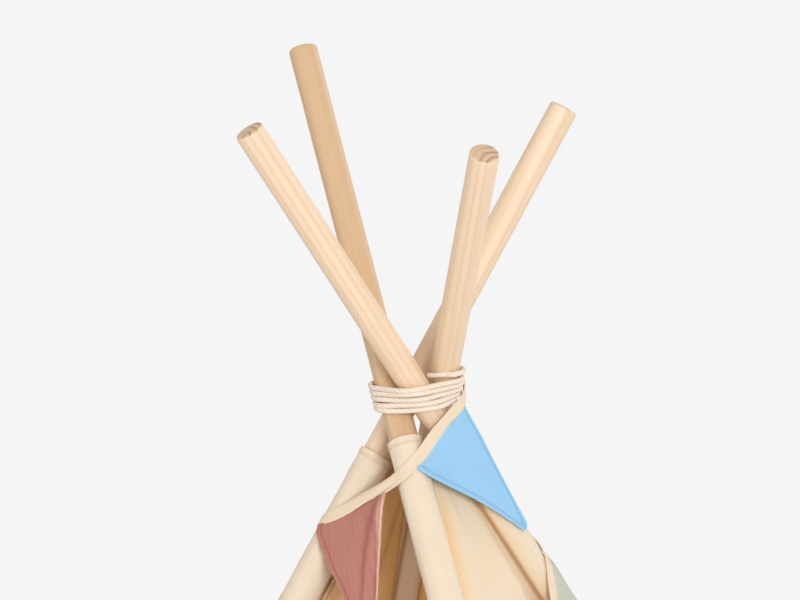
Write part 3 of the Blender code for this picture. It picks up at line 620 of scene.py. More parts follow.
def sleeve_point(pole, turn, height, top, off=0.0):
    """A point of the tube: a little loose, with soft ripples and a slanting top hem."""
    east, north, below = cos(turn), sin(turn), top - height
    loose = 0.0002 + 0.0007 * (0.5 + uneven(east * 1.3, north * 1.3, height * 7 + pole.seed * 3))
    ripple = 0.0006 * uneven(east * 2.5, north * 2.5, height * 42 + pole.seed * 5)
    drawn = 0.0006 * sin(turn * 7 + below * 90) * bell(below - 0.012, 0.010)
    hem = 0.00035 if below < SLEEVE_HEM or height < 0.057 else 0.0
    reach = SLEEVE_RADIUS - 0.0006 + loose + ripple + drawn + hem + off
    slant = 0.0016 * sin(turn + pole.seed) * smooth((height - top + 0.03) / 0.03)
    return pole.local(reach * east, reach * north, height + slant)


def sleeve_mark(turn, height, top, seams):
    """A painted glow beside the walls' seams, fainter further down; painted shade, darkest at the seams
    themselves and under the hem.
    """
    near = min(abs((turn - seam + pi) % (2 * pi) - pi) for seam in seams) * SLEEVE_RADIUS
    under = smooth((top - height) / 0.03)
    low_down = exp(-max(0.0, top - height - 0.10) / 0.25)
    return ((0.14 + 0.18 * low_down) * bell(near, 0.011) * under,
            0.8 * bell(near, 0.0024) * under + 0.30 * bell(top - height - 0.0068, 0.0006))


def seam_turns(pole):
    """The turns round the sleeve at which a wall's seam meets it."""
    turns = []
    for sides in ((FL, BL), (BL, BR), (FR, BR)):
        if pole in sides:
            _, run, _, _ = side_frame(*sides, FOLD_HEIGHT)
            away = pole.turned.transposed() @ (run if pole is sides[0] else -run)
            turns.append(atan2(away.y, away.x))
    return turns


def add_sleeves():
    turns, stitch_turns = full_turn(SLEEVE_SIDES), full_turn(SLEEVE_STITCHES)
    for pole in POLES:
        low, top, seams = SLEEVE_LOW, pole.below - pole.sleeve_drop, seam_turns(pole)
        steps = [low, low + 0.0006, *np.linspace(low + 0.004, top - 0.05, 150),
                 *np.linspace(top - 0.048, top - 0.0082, 26), top - 0.0068, top - 0.0061,
                 *np.linspace(top - 0.005, top - 0.001, 5), top - 0.0004, top]
        rows = [[sleeve_point(pole, t, h, top) for t in turns[:-1]] for h in steps]
        maps = [[(t * SLEEVE_RADIUS, h) for t in turns] for h in steps]
        marks = [[sleeve_mark(t, h, top, seams) for t in turns[:-1]] for h in steps]
        obj = sheet_object(pole.name + "_sleeve_tube", rows, maps, CANVAS, closed=True, offset=-1.0,
                           marks=marks)
        rides_as(obj, pole.body, pole.name + "_sleeve")
        away = [pole.turned @ Vector((cos(t), sin(t), 0)) for t in stitch_turns]
        hems = []
        for i, height in enumerate((top - 0.0050, low + 0.0160)):
            line = [sleeve_point(pole, t, height, top, 0.0002) for t in stitch_turns]
            hems.append(sewn_line("%s_sleeve_stitch_%d" % (pole.name, i), line, away))
            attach(hems[-1], pole.body)


SLANT = 1.08            # length of cloth for each metre of height
WALL_ROWS, WALL_COLUMNS = 120, 48
HEM_STITCHES, SEAM_STITCH = (0.0240, 0.0050), 0.0050


def wall_bulge(sides, share, width, drop):
    """How far the cover stands out of the poles' plane: folds down from the crown, sag, creases."""
    fade = exp(-drop / 0.45)
    if sides == (FR, BR):
        hump = smooth((share - 0.22) / 0.26) * smooth((0.93 - share) / 0.22)
        folds = 0.060 * hump - 0.034 * (bell(share - 0.20, 0.07) + 0.5 * bell(share - 0.93, 0.05))
    else:
        folds = 0.05 * sin(3 * pi * share) ** 2
    near = Vector((share * 5.1, drop * 3.1, len(sides[0].name) * 1.7 + sides[1].seed * 2.3))
    soft = 0.010 * noise.noise(near) + 0.0045 * noise.noise(near * 2.7)
    drawn = 0.006 * sin(share * 17 + drop * 5 + sides[0].seed)
    drawn *= bell(share - 0.5 - 0.25 * sin(drop * 4), 0.3)
    pinned = smooth(share / 0.16) * smooth((1 - share) / 0.16) * smooth(drop / 0.5)
    return (folds * fade - 0.02 * sin(pi * share) ** 2) * width + (soft + drawn) * pinned


def wall_point(sides, reach, height):
    """A point of the wall, reach from its first pole's line towards the second's."""
    start, run, width, outward = side_frame(*sides, height)
    return start + run * reach + outward * wall_bulge(sides, reach / width, width, CROWN.z - height)


def wall_edges(sides, height):
    """Reach of the seam at each pole, just within the sleeve's own cloth."""
    _, run, width, _ = side_frame(*sides, height)
    tuck = SLEEVE_RADIUS - 0.0012
    return tuck / run.cross(sides[0].up).length, width - tuck / run.cross(sides[1].up).length


def half_span(sides, half, height):
    """Where one half of a wall starts and ends, along the run between its poles."""
    first, last = wall_edges(sides, height)
    middle = side_frame(*sides, height)[2] / 2
    return (middle, last) if half else (first, middle)


def wall_marks(sides, reach, height):
    """A painted glow where the cloth lies in a valley by a seam, in uneven patches and fading down from the
    crown; painted shade, darkest in the fold at the seam itself.
    """
    first, last = wall_edges(sides, height)
    width, drop = side_frame(*sides, height)[2], CROWN.z - height
    near, far, fade = reach - first, last - reach, exp(-drop / 0.6)
    warm = 0.95 * bell(near, 0.008 + 0.10 * width, 4) * smooth((drop - 0.07) / 0.06)
    warm += 0.75 * bell(far, 0.006 + 0.03 * width)
    warm += 0.18 * (0.5 + uneven(reach * 9, height * 4, sides[0].seed * 3.0))
    return warm * fade, (bell(near, 0.0032) * 0.6 + bell(far, 0.0027)) * (0.35 + 0.65 * fade)


def cover_heights(rows):
    """Heights from the hem to the cover's top, closer together near the top."""
    tall = COVER_TOP - HEM_HEIGHT
    return [HEM_HEIGHT + tall * (1 - (1 - i / rows) ** 1.35) for i in range(rows + 1)]


def wall_stitches(name, sides, spots):
    """A sewn line on a wall's outside, through spots that give the reach and the height."""
    normals = [side_frame(*sides, height)[3] for _, height in spots]
    line = [wall_point(sides, *spot) + normal * (CLOTH / 2) for spot, normal in zip(spots, normals)]
    return sewn_line(name, line, normals)


def add_wall(name, front, back, nodes):
    sides = (front, back)
    for half, (pole, other) in enumerate(((front, back), (back, front))):
        rows, maps, marks = [], [], []
        for height in cover_heights(WALL_ROWS):
            span = half_span(sides, half, height)
            reaches = [span[0] + (span[1] - span[0]) * k / WALL_COLUMNS for k in range(WALL_COLUMNS + 1)]
            rows.append([wall_point(sides, r, height) for r in reaches])
            maps.append([(r - span[1 - half], height * SLANT) for r in reaches])
            marks.append([wall_marks(sides, r, height) for r in reaches])
        # Each half takes marks of painted glow and painted shade, and a painted glow on its face towards the
        # middle
        obj = sheet_object("%s_%s_half" % (name, ("first", "second")[half]), rows, maps, CANVAS,
                           marks=marks, painted_inner_glow=0.9)
        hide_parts(nodes[half])
        sewn = []
        for i, rise in enumerate(HEM_STITCHES):
            reaches = np.linspace(*half_span(sides, half, HEM_HEIGHT + rise), 60)
            sewn.append(wall_stitches("%s_%d_hem_stitch_%d" % (name, half, i), sides,
                                      [(float(r), HEM_HEIGHT + rise) for r in reaches]))
        heights = [float(h) for h in np.linspace(HEM_HEIGHT + 0.004, COVER_TOP - 0.004, 90)]
        inside = -SEAM_STITCH if half else SEAM_STITCH
        sewn.append(wall_stitches("%s_%d_seam_stitch" % (name, half), sides,
                                  [(half_span(sides, half, h)[half] + inside, h) for h in heights]))
        edge = run_length([row[-1] for row in rows])[-1]
        spread = run_length(rows[0])[-1]
        fold_all((obj, *sewn), "canvas", pole, other)


CURTAIN_WIDTH, CURTAIN_START = 0.150, 0.009
CURTAIN_ROWS, CURTAIN_COLUMNS = 110, 60
TIE_HEIGHT, TIE_WIDTH, TIE_LOOSE = 0.540, 0.026, 0.0021
TIE_CORNER, TIE_ROWS = 0.0035, 8
# fall below the crossing as a share of its height, and reach as a share of CURTAIN_WIDTH
GATHER = ((0.12, 0.135), (0.30, 0.18), (0.577, 0.26), (0.80, 0.62), (1.0, 1.0))
CURTAIN_SHARES = {FR: ((0.0, 0.27), (0.08, 0.235), (0.098, 0.17), *GATHER),
                  FL: ((0.0, 0.155), (0.09, 0.13), *GATHER)}


def curtain_seat(run, outward, pole):
    """How far behind the poles' plane the curtain clears its sleeve."""
    along = CURTAIN_START - 0.0011
    lean_run, lean_out = run.dot(pole.up), outward.dot(pole.up)
    square = 1 - lean_out**2
    cross = along * lean_run * lean_out
    short = 0.0181**2 - along**2 * (1 - lean_run**2)
    return (-cross + sqrt(cross**2 + square * short)) / square + 0.0021


def curtain_section(pole, height):
    """How far the gathered curtain reaches at a height, and how deep its pleats are."""
    reach = CURTAIN_WIDTH * table_value(CURTAIN_SHARES[pole], (CROWN.z - height) / CROWN.z)
    return reach, 0.35 * (reach - CURTAIN_START)


def curtain_point(pole, other, share, height):
    """A point of the gathered curtain, share from its pole's side to its free edge."""
    start, run, _, outward = side_frame(pole, other, height)
    reach, depth = curtain_section(pole, height)
    free = smooth(abs(height - TIE_HEIGHT) / 0.10)
    wave = sin(2 * pi * share) ** 2
    small = 0.16 * sin(6 * pi * share + pole.seed) ** 2 * smooth(share / 0.1) * smooth((1 - share) / 0.1)
    drift = 0.05 * uneven(share * 3, height * 5, pole.seed) * free
    bow = 0.010 * free * smooth(share / 0.2) * uneven(share * 2.0, height * 3.2, pole.seed + 4)
    along = CURTAIN_START + (reach - CURTAIN_START) * (share + drift * share * (1 - share))
    back = curtain_seat(run, outward, pole) + depth * (wave * 0.86 + small) + bow * 0.3
    place = start + run * along - outward * back
    return place + pole.up * ((height - place.z) / pole.up.z)


def add_curtains():
    shares = [k / CURTAIN_COLUMNS for k in range(CURTAIN_COLUMNS + 1)]
    heights = cover_heights(CURTAIN_ROWS)
    for pole, other, name in ((FL, FR, "left_curtain"), (FR, FL, "right_curtain")):
        rows = [[curtain_point(pole, other, s, h) for s in shares] for h in heights]
        maps = [[(m, h * SLANT) for m in run_length(row)] for row, h in zip(rows, heights)]
        # A painted glow over the curtains, stronger where the pleats fold back and fading down from the
        # crown; no painted shade
        pleats = [0.85 + 0.15 * sin(2 * pi * s) ** 2 for s in shares]
        marks = [[(pleat * exp(-(CROWN.z - h) / 0.7), 0.0) for pleat in pleats] for h in heights]
        obj = sheet_object(name + "_cloth", rows, maps, CANVAS, marks=marks)
        outward = side_frame(pole, other, 0.5)[3]
        sewn = []
        for kind, spots in (("_stitch_0", [(0.965, h) for h in heights]),
                            ("_hem_stitch", [(s, HEM_HEIGHT + HEM_STITCHES[0]) for s in shares])):
            line = [curtain_point(pole, other, *spot) + outward * (CLOTH / 2) for spot in spots]
            sewn.append(sewn_line(name + kind, line, [outward] * len(line)))
        lengths = [run_length(row)[-1] for row in rows]
        tall = run_length([row[-1] for row in rows])[-1]
        centre = CURTAIN_COLUMNS // 2
        area = sum((a + b) / 2 * (q[centre] - p[centre]).length
                   for a, b, p, q in zip(lengths, lengths[1:], rows, rows[1:]))
        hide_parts(name)
        fold_all((obj, *sewn), "canvas", pole, other, 0.6)
        add_tie(pole, other, name + "_tie")


def tie_loop(low_w, high_w, low_d, high_d):
    """Places along the run and behind it, round a loop with rounded corners."""
    corners, loop = [], []
    for x, d, quarter in ((high_w, high_d, 0), (low_w, high_d, 1), (low_w, low_d, 2), (high_w, low_d, 3)):
        for step in range(6):
            angle = (quarter + step / 5) * pi / 2
            corners.append((x + TIE_CORNER * (cos(angle) - (1 if x == high_w else -1)),
                            d + TIE_CORNER * (sin(angle) - (1 if d == high_d else -1))))
    for a, b in zip(corners, corners[1:] + corners[:1]):
        count = max(1, int(sqrt((a[0] - b[0]) ** 2 + (a[1] - b[1]) ** 2) / 0.002))
        loop += [(a[0] + (b[0] - a[0]) * i / count, a[1] + (b[1] - a[1]) * i / count)
                 for i in range(count)]
    return loop


def add_tie(pole, other, name):
    """A doubled strap round the gathered curtain, stitched along both its edges."""
    start, run, _, outward = side_frame(pole, other, TIE_HEIGHT)
    reach, depth = curtain_section(pole, TIE_HEIGHT)
    seat = curtain_seat(run, outward, pole)
    low_w, high_w = CURTAIN_START - TIE_LOOSE, reach + TIE_LOOSE
    low_d, high_d = seat - 0.0009, seat + depth + TIE_LOOSE
    loop = tie_loop(low_w, high_w, low_d, high_d)
    inward = [-(run * (x - (low_w + high_w) / 2) - outward * (d - (low_d + high_d) / 2)).normalized()
              for x, d in loop]
    rows, maps = [], []
    for step in range(TIE_ROWS + 1):
        rise = (step / TIE_ROWS - 0.5) * TIE_WIDTH
        pinch = 0.0006 * (1 - (2 * step / TIE_ROWS - 1) ** 2)
        row = [start + run * x - outward * d + pole.up * rise + way * pinch
               for (x, d), way in zip(loop, inward)]
        rows.append(row)
        maps.append([(m, rise) for m in run_length(row + row[:1])])
    obj = sheet_object(name + "_strap", rows, maps, TAPE_CLOTH, 0.0013, closed=True)
    middle = rows[TIE_ROWS // 2]
    centre = sum(middle, Vector()) / len(middle)
    sewn = []
    for i, step in enumerate((1, TIE_ROWS - 1)):
        line = rows[step] + rows[step][:1]
        away = [(p - centre).normalized() for p in line]
        line = [p + way * 0.0006 for p, way in zip(line, away)]
        sewn.append(sewn_line("%s_stitch_%d" % (name, i), line, away))
    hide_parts(name)
    fold_all((obj, *sewn), "canvas", pole)


# ---------------------------------------------------------------- rope lashing

DIRECTIONS = np.radians(np.arange(0, 360, 2))
FACING = np.stack([np.cos(DIRECTIONS), np.sin(DIRECTIONS)], axis=1)
ROPE_RADIUS, ROPE_LAY, ROPE_SIDES = 0.00272, 0.021, 18
ROPE_TURNS, ROPE_PITCH, TURN_POINTS = 5.03, 0.0056, 72
ROPE_STEP = 0.0013
STRAND_OFFSET, STRAND_RADIUS = 0.536, 0.464
# east, north and rise from the crossing
ROPE_TAIL = ((0.0405, -0.0165, 0.0315), (0.0345, -0.0190, 0.0310), (0.0265, -0.0190, 0.0300),
             (0.0208, -0.0165, 0.0295))


def hull_reach(angle, rise, radius):
    """Distance from the crown's centre line to a taut loop round the poles, at a compass angle."""
    reaches = []
    for pole in POLES:
        centre = pole.at(CROWN.z + rise) - CROWN
        along = FACING @ np.array(pole.out[:2]) * radius / pole.up.z
        across = FACING @ np.array(pole.side[:2]) * radius
        reaches.append(FACING @ np.array(centre[:2]) + np.hypot(along, across))
    supports = np.max(reaches, axis=0)
    facing = np.cos(DIRECTIONS - angle)
    ahead = facing > 0.15
    return float((supports[ahead] / facing[ahead]).min())


def polar(angle, reach, rise):
    return CROWN + Vector((reach * cos(angle), reach * sin(angle), rise))


def bearing(place):
    """The compass angle and the rise of a place, seen from the crown."""
    around = place - CROWN
    return atan2(around.y, around.x), around.z


def resampled(points, step):
    places = np.array([tuple(p) for p in points])
    marks = np.array(run_length(points))
    even = np.linspace(0, marks[-1], int(marks[-1] / step) + 1)
    return np.stack([np.interp(even, marks, places[:, i]) for i in range(3)], axis=1)


def evened(rows, passes):
    """The rows run through a moving average, their ends kept."""
    rows = rows.copy()
    for _ in range(passes):
        rows[1:-1] = (rows[:-2] + rows[1:-1] * 2 + rows[2:]) / 4
    return rows


def rope_line():
    """The rope's centre line: its turns round the poles, then the tail tucked in on top."""
    points = []
    for i in range(ceil(ROPE_TURNS * TURN_POINTS) + 1):
        turn = i / TURN_POINTS
        angle = radians(-6.0) - 2 * pi * turn
        rise = -0.004 + ROPE_PITCH * turn + 0.0045 * cos(angle - radians(10.0))
        rise += 0.0032 * smooth((turn - 4.45) / 0.45)
        rise += 0.0009 * uneven(cos(angle) * 1.6, sin(angle) * 1.6, turn * 0.9) * smooth(turn / 0.2)
        points.append(polar(angle, hull_reach(angle, rise, POLE_RADIUS + 0.0047), rise))
    points += [CROWN + Vector(place) for place in ROPE_TAIL]
    return evened(resampled(points, ROPE_STEP), 6)


def add_rope():
    line = rope_line()
    heading = np.gradient(line, axis=0)
    heading /= np.linalg.norm(heading, axis=1)[:, None]
    side = np.cross(heading[0], (0, 0, 1.0))
    rows, groove, maps = [], [], []
    for i, (place, ahead) in enumerate(zip(line, heading)):
        side = side - ahead * side.dot(ahead)
        side /= np.linalg.norm(side)
        up = np.cross(ahead, side)
        spin = 2 * pi * i * ROPE_STEP / ROPE_LAY
        row = []
        for turn in full_turn(ROPE_SIDES)[:-1]:
            off = (turn - spin) % (2 * pi / 3) - pi / 3
            aside = STRAND_OFFSET * sin(off)
            lobe = STRAND_OFFSET * cos(off) + sqrt(max(0.0, STRAND_RADIUS**2 - aside**2))
            reach = ROPE_RADIUS * (1 - 0.16 * (1 - max(lobe, 0.74)))
            row.append(place + (side * cos(turn) + up * sin(turn)) * reach)
            # how much painted shade: most deep in the groove between strands
            groove.append(max(0.0, 1 - (lobe - 0.6) / 0.25))
        rows.append(row)
        maps.append([(turn * ROPE_RADIUS, i * ROPE_STEP) for turn in full_turn(ROPE_SIDES)])
    faces, corners = lofted(rows, maps, closed=True)
    last = (len(line) - 1) * ROPE_SIDES
    faces += [tuple(reversed(range(ROPE_SIDES))), tuple(range(last, last + ROPE_SIDES))]
    corners += [(0, 0)] * ROPE_SIDES * 2
    obj = mesh_object("crown_lashing", [p for row in rows for p in row], faces, corners)
    set_mark(obj, "groove", groove)
    in_edit_mode(finished(obj, ROPE, 60))
    turn_outwards()
    rides_as(obj, "crown", "crown_rope")
    add_rope_end(Vector(line[0]), (Vector(line[0]) - Vector(line[3])).normalized())


def add_rope_end(end, ahead):
    """Tape wound round the rope's first end."""
    turned = ahead.to_track_quat("Z", "Y")
    wrap = cylinder("rope_end_tape", 0.0028, 0.009, end + ahead * 0.0048, turned, 28)
    pick(wrap, "edges", lambda e: (e.verts[0].co - e.verts[1].co).length > 0.006)
    bpy.ops.mesh.subdivide(number_cuts=7)
    pick(wrap, "edges", lambda e: len({abs(f.normal.dot(ahead)) > 0.9 for f in e.link_faces}) == 2)
    bpy.ops.mesh.bevel(offset=0.0007, segments=3, affect="EDGES")
    bpy.ops.object.mode_set(mode="OBJECT")
    for vert in wrap.data.vertices:
        vert.co += (vert.co - end).normalized() * 0.0001 * noise.noise(vert.co * 900)
    rides_as(finished(wrap, END_TAPE, 40), "crown", "rope_end_wrap")


# ---------------------------------------------------------------- bunting

TAPE_WIDTH, TAPE_THICKNESS, TAPE_FALL = 0.013, 0.0016, 0.290
STEP = 0.003
OVER_ROPE, OVER_SLEEVE = 0.0075, SLEEVE_RADIUS - POLE_RADIUS
# compass degrees round the crown, and fall as a share of TAPE_FALL
ROUTE = ((75, -0.07), (48, -0.062), (28, -0.05), (18, -0.012), (8, 0.013), (-10, 0.021),
         (-29, 0.044), (-50, 0.118), (-73, 0.183), (-88, 0.232), (-109, 0.282),
         (-133, 0.335), (-148, 0.395), (-164, 0.44), (-190, 0.45), (-232, 0.44),
         (-262, 0.41), (-285, 0.42), (-300, 0.44), (-311, 0.47), (-318, 0.50),
         (-323, 0.53), (-328, 0.575), (-333, 0.635), (-337, 0.70), (-341, 0.77),
         (-347, 0.835), (-360, 0.895), (-380, 0.945), (-404, 0.98), (-412, 1.0))
# each length's node, the compass degrees it runs between, its pole and the other pole of its side
TAPE_CUTS = (("crown", 90, -42, FR, BR), ("crown", -42, -91.8, FR, FL),
             ("front_left", -91.8, -141.6, FL, FR), ("front_left", -141.6, -186.8, FL, BL),
             ("back_left", -186.8, -232, BL, FL), ("back_left", -232, -274, BL, BR),
             ("back_right", -274, -316, BR, BL), ("back_right", -316, -359, BR, FR),
             ("end", -359, -402, FR, BR), ("end", -402, -420, FR, FL))
# across as a share of half the width, and out as a share of half the thickness
TAPE_SECTION = ((-1.0, 0.0), (-0.95, 0.75), (-0.6, 1.0), (0.0, 0.88), (0.55, 0.98), (0.93, 0.8),
                (1.0, 0.35), (1.0, -0.35), (0.93, -0.8), (0.55, -0.98), (0.0, -0.88), (-0.6, -1.0),
                (-0.95, -0.75))


def bunting_base(angle, rise, lift):
    """The surface that the bunting lies on, a little slack where it leaves the rope."""
    share = smooth((rise + 0.029) / 0.015)
    slack = 0.0034 * exp(-((degrees(angle) - 6) / 17) ** 2 - ((rise + 0.012) / 0.018) ** 2)
    skin = OVER_SLEEVE + (OVER_ROPE - OVER_SLEEVE) * share + 0.0009 + slack
    return polar(angle, hull_reach(angle, rise, POLE_RADIUS + skin) + lift, rise)


def surface_normal(angle, rise):
    """The way the bunting's surface faces."""
    east = bunting_base(angle + radians(4), rise, 0) - bunting_base(angle - radians(4), rise, 0)
    north = bunting_base(angle, rise + 0.005, 0) - bunting_base(angle, rise - 0.005, 0)
    return east.cross(north).normalized()


def smooth_route():
    """A smooth curve through the route's knots: compass angles, and rises over the crossing."""
    knots = np.array(ROUTE, dtype=float)
    last = len(knots) - 1
    fine = np.linspace(0, last, last * 12 + 1)
    tangents = np.gradient(knots, axis=0)
    cell = np.minimum(fine.astype(int), last - 1)
    t = (fine - cell)[:, None]
    route = ((2 * t**3 - 3 * t**2 + 1) * knots[cell] + (t**3 - 2 * t**2 + t) * tangents[cell]
             + (3 * t**2 - 2 * t**3) * knots[cell + 1] + (t**3 - t**2) * tangents[cell + 1])
    return np.radians(route[:, 0]), -TAPE_FALL * route[:, 1]


def bunting_stations():
    """Even stations along the tape: place, heading, the way it faces, and compass degrees."""
    def placed(angles, rises):
        return [bunting_base(float(u), float(v), TAPE_THICKNESS / 2) for u, v in zip(angles, rises)]

    angles, rises = smooth_route()
    lengths = np.array(run_length(placed(angles, rises)))
    count = int(lengths[-1] / STEP)
    even = np.linspace(0, lengths[-1], count + 1)
    angles, rises = np.interp(even, lengths, angles), np.interp(even, lengths, rises)
    once = evened(np.array([tuple(p) for p in placed(angles, rises)]), 36)
    places = [Vector(p) for p in 2 * once - evened(once, 36)]
    faced = np.array([tuple(surface_normal(float(u), float(v))) for u, v in zip(angles, rises)])
    turned = 0.55 * np.exp(-((np.degrees(angles) + 4) / 20) ** 2)[:, None]
    faced = evened(faced * (1 - turned) + np.array((0.36, -0.93, 0.0)) * turned, 16)
    stations = []
    for i, place in enumerate(places):
        heading = (places[min(i + 1, count)] - places[max(i - 1, 0)]).normalized()
        normal = Vector(faced[i])
        normal = (normal - heading * normal.dot(heading)).normalized()
        stations.append((place, heading, normal, float(np.degrees(angles[i]))))
    return stations, float(lengths[-1]) / count


def lower_side(heading, normal):
    across = heading.cross(normal).normalized()
    return across if across.z < 0 else -across


def blend_all(pieces, slot, start, end):
    """Settles each piece's place into its mesh."""
    for piece in pieces:
        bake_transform(piece)
        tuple(start)
        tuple(end)


def add_tape(stations, spacing):
    """The folded tape, cut at the poles and at mid-wall, each length but the first riding its own pole.

    Gives the name of the tape's piece at each station."""
    compass = [s[3] for s in stations]
    half_w, half_t = TAPE_WIDTH / 2, TAPE_THICKNESS / 2
    names = []
    for i, (where, first, last, pole, other) in enumerate(TAPE_CUTS):
        start = next(k for k, c in enumerate(compass) if c <= first) if i else 0
        stop = next((k for k, c in enumerate(compass) if c <= last), len(compass) - 1)
        rows, maps, seam, normals = [], [], [], []
        for k in range(start, stop + 1):
            place, heading, normal, _ = stations[k]
            down = lower_side(heading, normal)
            rows.append([place + down * (half_w * x) + normal * (half_t * y) for x, y in TAPE_SECTION])
            maps.append([(x * half_w, k * spacing) for x, _ in (*TAPE_SECTION, TAPE_SECTION[0])])
            seam.append(place + down * (half_w * 0.66) + normal * half_t)
            normals.append(normal)
        node = "bunting_tape_" + where
        obj = sheet_object("%s_%s" % (node, "ab"[i % 2]), rows, maps, TAPE_CLOTH, 0.0, closed=True)
        in_edit_mode(obj)
        pick(obj, "edges", lambda e: e.is_boundary)
        bpy.ops.mesh.fill()
        turn_outwards()
        finished(obj, TAPE_CLOTH, 50)
        sewn = sewn_line("bunting_stitch_%d" % i, seam, normals, pitch=0.0038, length=0.0027, radius=0.00026)
        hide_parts(node)
        if i:
            fold_all((obj, sewn), "bunting_tape", pole, other)
        else:
            blend_all((obj, sewn), "bunting_tape", stations[0][0], stations[stop][0])
        names += [obj.name] * (stop - len(names))
    return names + names[-1:]


# cloth, thread, slot, the pole each goes with and the other pole of its side
PENNANTS = ((BLUE, BLUE_THREAD, "pennant_blue", FR, BR), (PINK, PINK_THREAD, "pennant_pink", FL, FR),
            (SAGE, SAGE_THREAD, "pennant_sage", BL, FL), (BLUE, BLUE_THREAD, "pennant_blue", BR, BL),
            (SAGE, SAGE_THREAD, "pennant_sage", BR, FR), (PINK, PINK_THREAD, "pennant_pink", FR, BR))
FLAG_WIDTH, FLAG_LENGTH, FLAG_PITCH, FLAG_START = 0.096, 0.147, 0.140, 0.066
FLAG_ROWS, SEAM_PARTS = 40, 40
TIP_TAPER = 0.9
HEM_EDGE, HEM_SEWN = 0.0044, 0.0034
HEM_INSETS = (0.0, 0.0014, 0.0030, 0.0038, HEM_EDGE, 0.0052)
FLAG_LIFT = 0.0016


def walk_down(place, direction, distance, lift):
    """Where a walk over the cover ends that starts at a place in a direction."""
    steps = max(1, ceil(distance / 0.009))
    for _ in range(steps):
        place = bunting_base(*bearing(place + direction * (distance / steps)), lift)
    return place


def over_cover(place, lift):
    """The place itself where it stands clear of the cover, or else the cover's surface beside it."""
    surface = bunting_base(*bearing(place), lift)
    return surface if (surface - CROWN).xy.length > (place - CROWN).xy.length else place


def flag_waves(i, u, share, inset):
    """How far the cloth stands off: soft waves, the folds of the pink flag, the doubled side hems."""
    waves = 0.0016 * (uneven(u * 1.3, share * 2.1, i * 3.7) + 0.3) * smooth(share / 0.3)
    if i == 1:
        fold = u + 0.92 - share * 1.25
        waves += 0.0034 * bell(fold, 0.20) * smooth(share / 0.12) * smooth((0.95 - share) / 0.3)
        waves += 0.0040 * smooth((-u - 0.66) / 0.34) * smooth(share / 0.25)
    return waves + 0.0004 * smooth((HEM_EDGE - inset) / 0.0008)


def flag_half(share):
    """Half of a flag's width, at a share of its length."""
    return FLAG_WIDTH * (1 - TIP_TAPER * share) / 2


def flag_columns(half):
    """Places across a flag from -1 to 1, close together at its side hems."""
    scale = min(1.0, half / 0.010)
    edge = [1 - inset * scale / half for inset in HEM_INSETS]
    right = edge + [edge[-1] * (1 - k / 12) for k in range(1, 13)]
    return [-u for u in right] + right[-2::-1]


def flag_mark(i, u, share):
    """How pale the left edge is, which only the pink cloth shows, and how much painted shade darkens the
    creases: at the side hems' edges and, on the pink flag, beside its diagonal fold.
    """
    crease = 0.7 * bell((1 - abs(u)) * flag_half(share) - HEM_EDGE, 0.0007)
    if i == 1:
        crease += 0.42 * bell(u + 0.76 - share * 1.25, 0.17) * smooth((0.9 - share) / 0.4)
    return smooth((-u - 0.78) / 0.10), crease


def flag_surface(i, stations, spacing, drop):
    """Gives the function that places a point of flag i: u across it, from -1 to 1, and share down it."""
    first = FLAG_START + i * FLAG_PITCH
    centre = first + FLAG_WIDTH / 2
    _, heading, normal, _ = stations[int(centre / spacing)]
    down = Vector((0, 0, -1))
    down = (down - normal * down.dot(normal)).normalized()
    fall = (lower_side(heading, normal) * (0.64 if i == 0 else 0.70) + down * 0.33).normalized()

    def seam_point(along):
        index = min(max(along / spacing, 0), len(stations) - 2)
        base, after = stations[int(index)], stations[int(index) + 1]
        part = index - int(index)
        edge = lower_side(base[1], base[2]).lerp(lower_side(after[1], after[2]), part).normalized()
        return base[0].lerp(after[0], part) + edge * (TAPE_WIDTH / 2 - 0.0015)

    trim = 0.006 if i == 1 else 0.0
    seam = [seam_point(first + (FLAG_WIDTH - trim) * k / SEAM_PARTS) for k in range(SEAM_PARTS + 1)]
    across = (seam[-1] - seam[0]).normalized() * (FLAG_WIDTH * (1 - TIP_TAPER))
    end = walk_down(seam_point(centre), fall, drop + 0.0017, TAPE_THICKNESS / 2 + FLAG_LIFT)

    def cloth_point(u, share):
        spot = (u + 1) / 2 * SEAM_PARTS
        k = min(int(spot), SEAM_PARTS - 1)
        high = seam[k].lerp(seam[k + 1], spot - k)
        rounded = 0.0060 * (1 - sqrt(max(0.0, 1 - 0.97 * u * u))) * smooth((share - 0.84) / 0.16)
        place = high.lerp(end + across * (u / 2), share - rounded / drop)
        around = over_cover(place, TAPE_THICKNESS / 2 + FLAG_LIFT * smooth(share / 0.05)) - CROWN
        inset = (1 - abs(u)) * flag_half(share)
        stand = 1 + flag_waves(i, u, share, inset) / around.xy.length
        return CROWN + Vector((around.x * stand, around.y * stand, around.z))

    return cloth_point


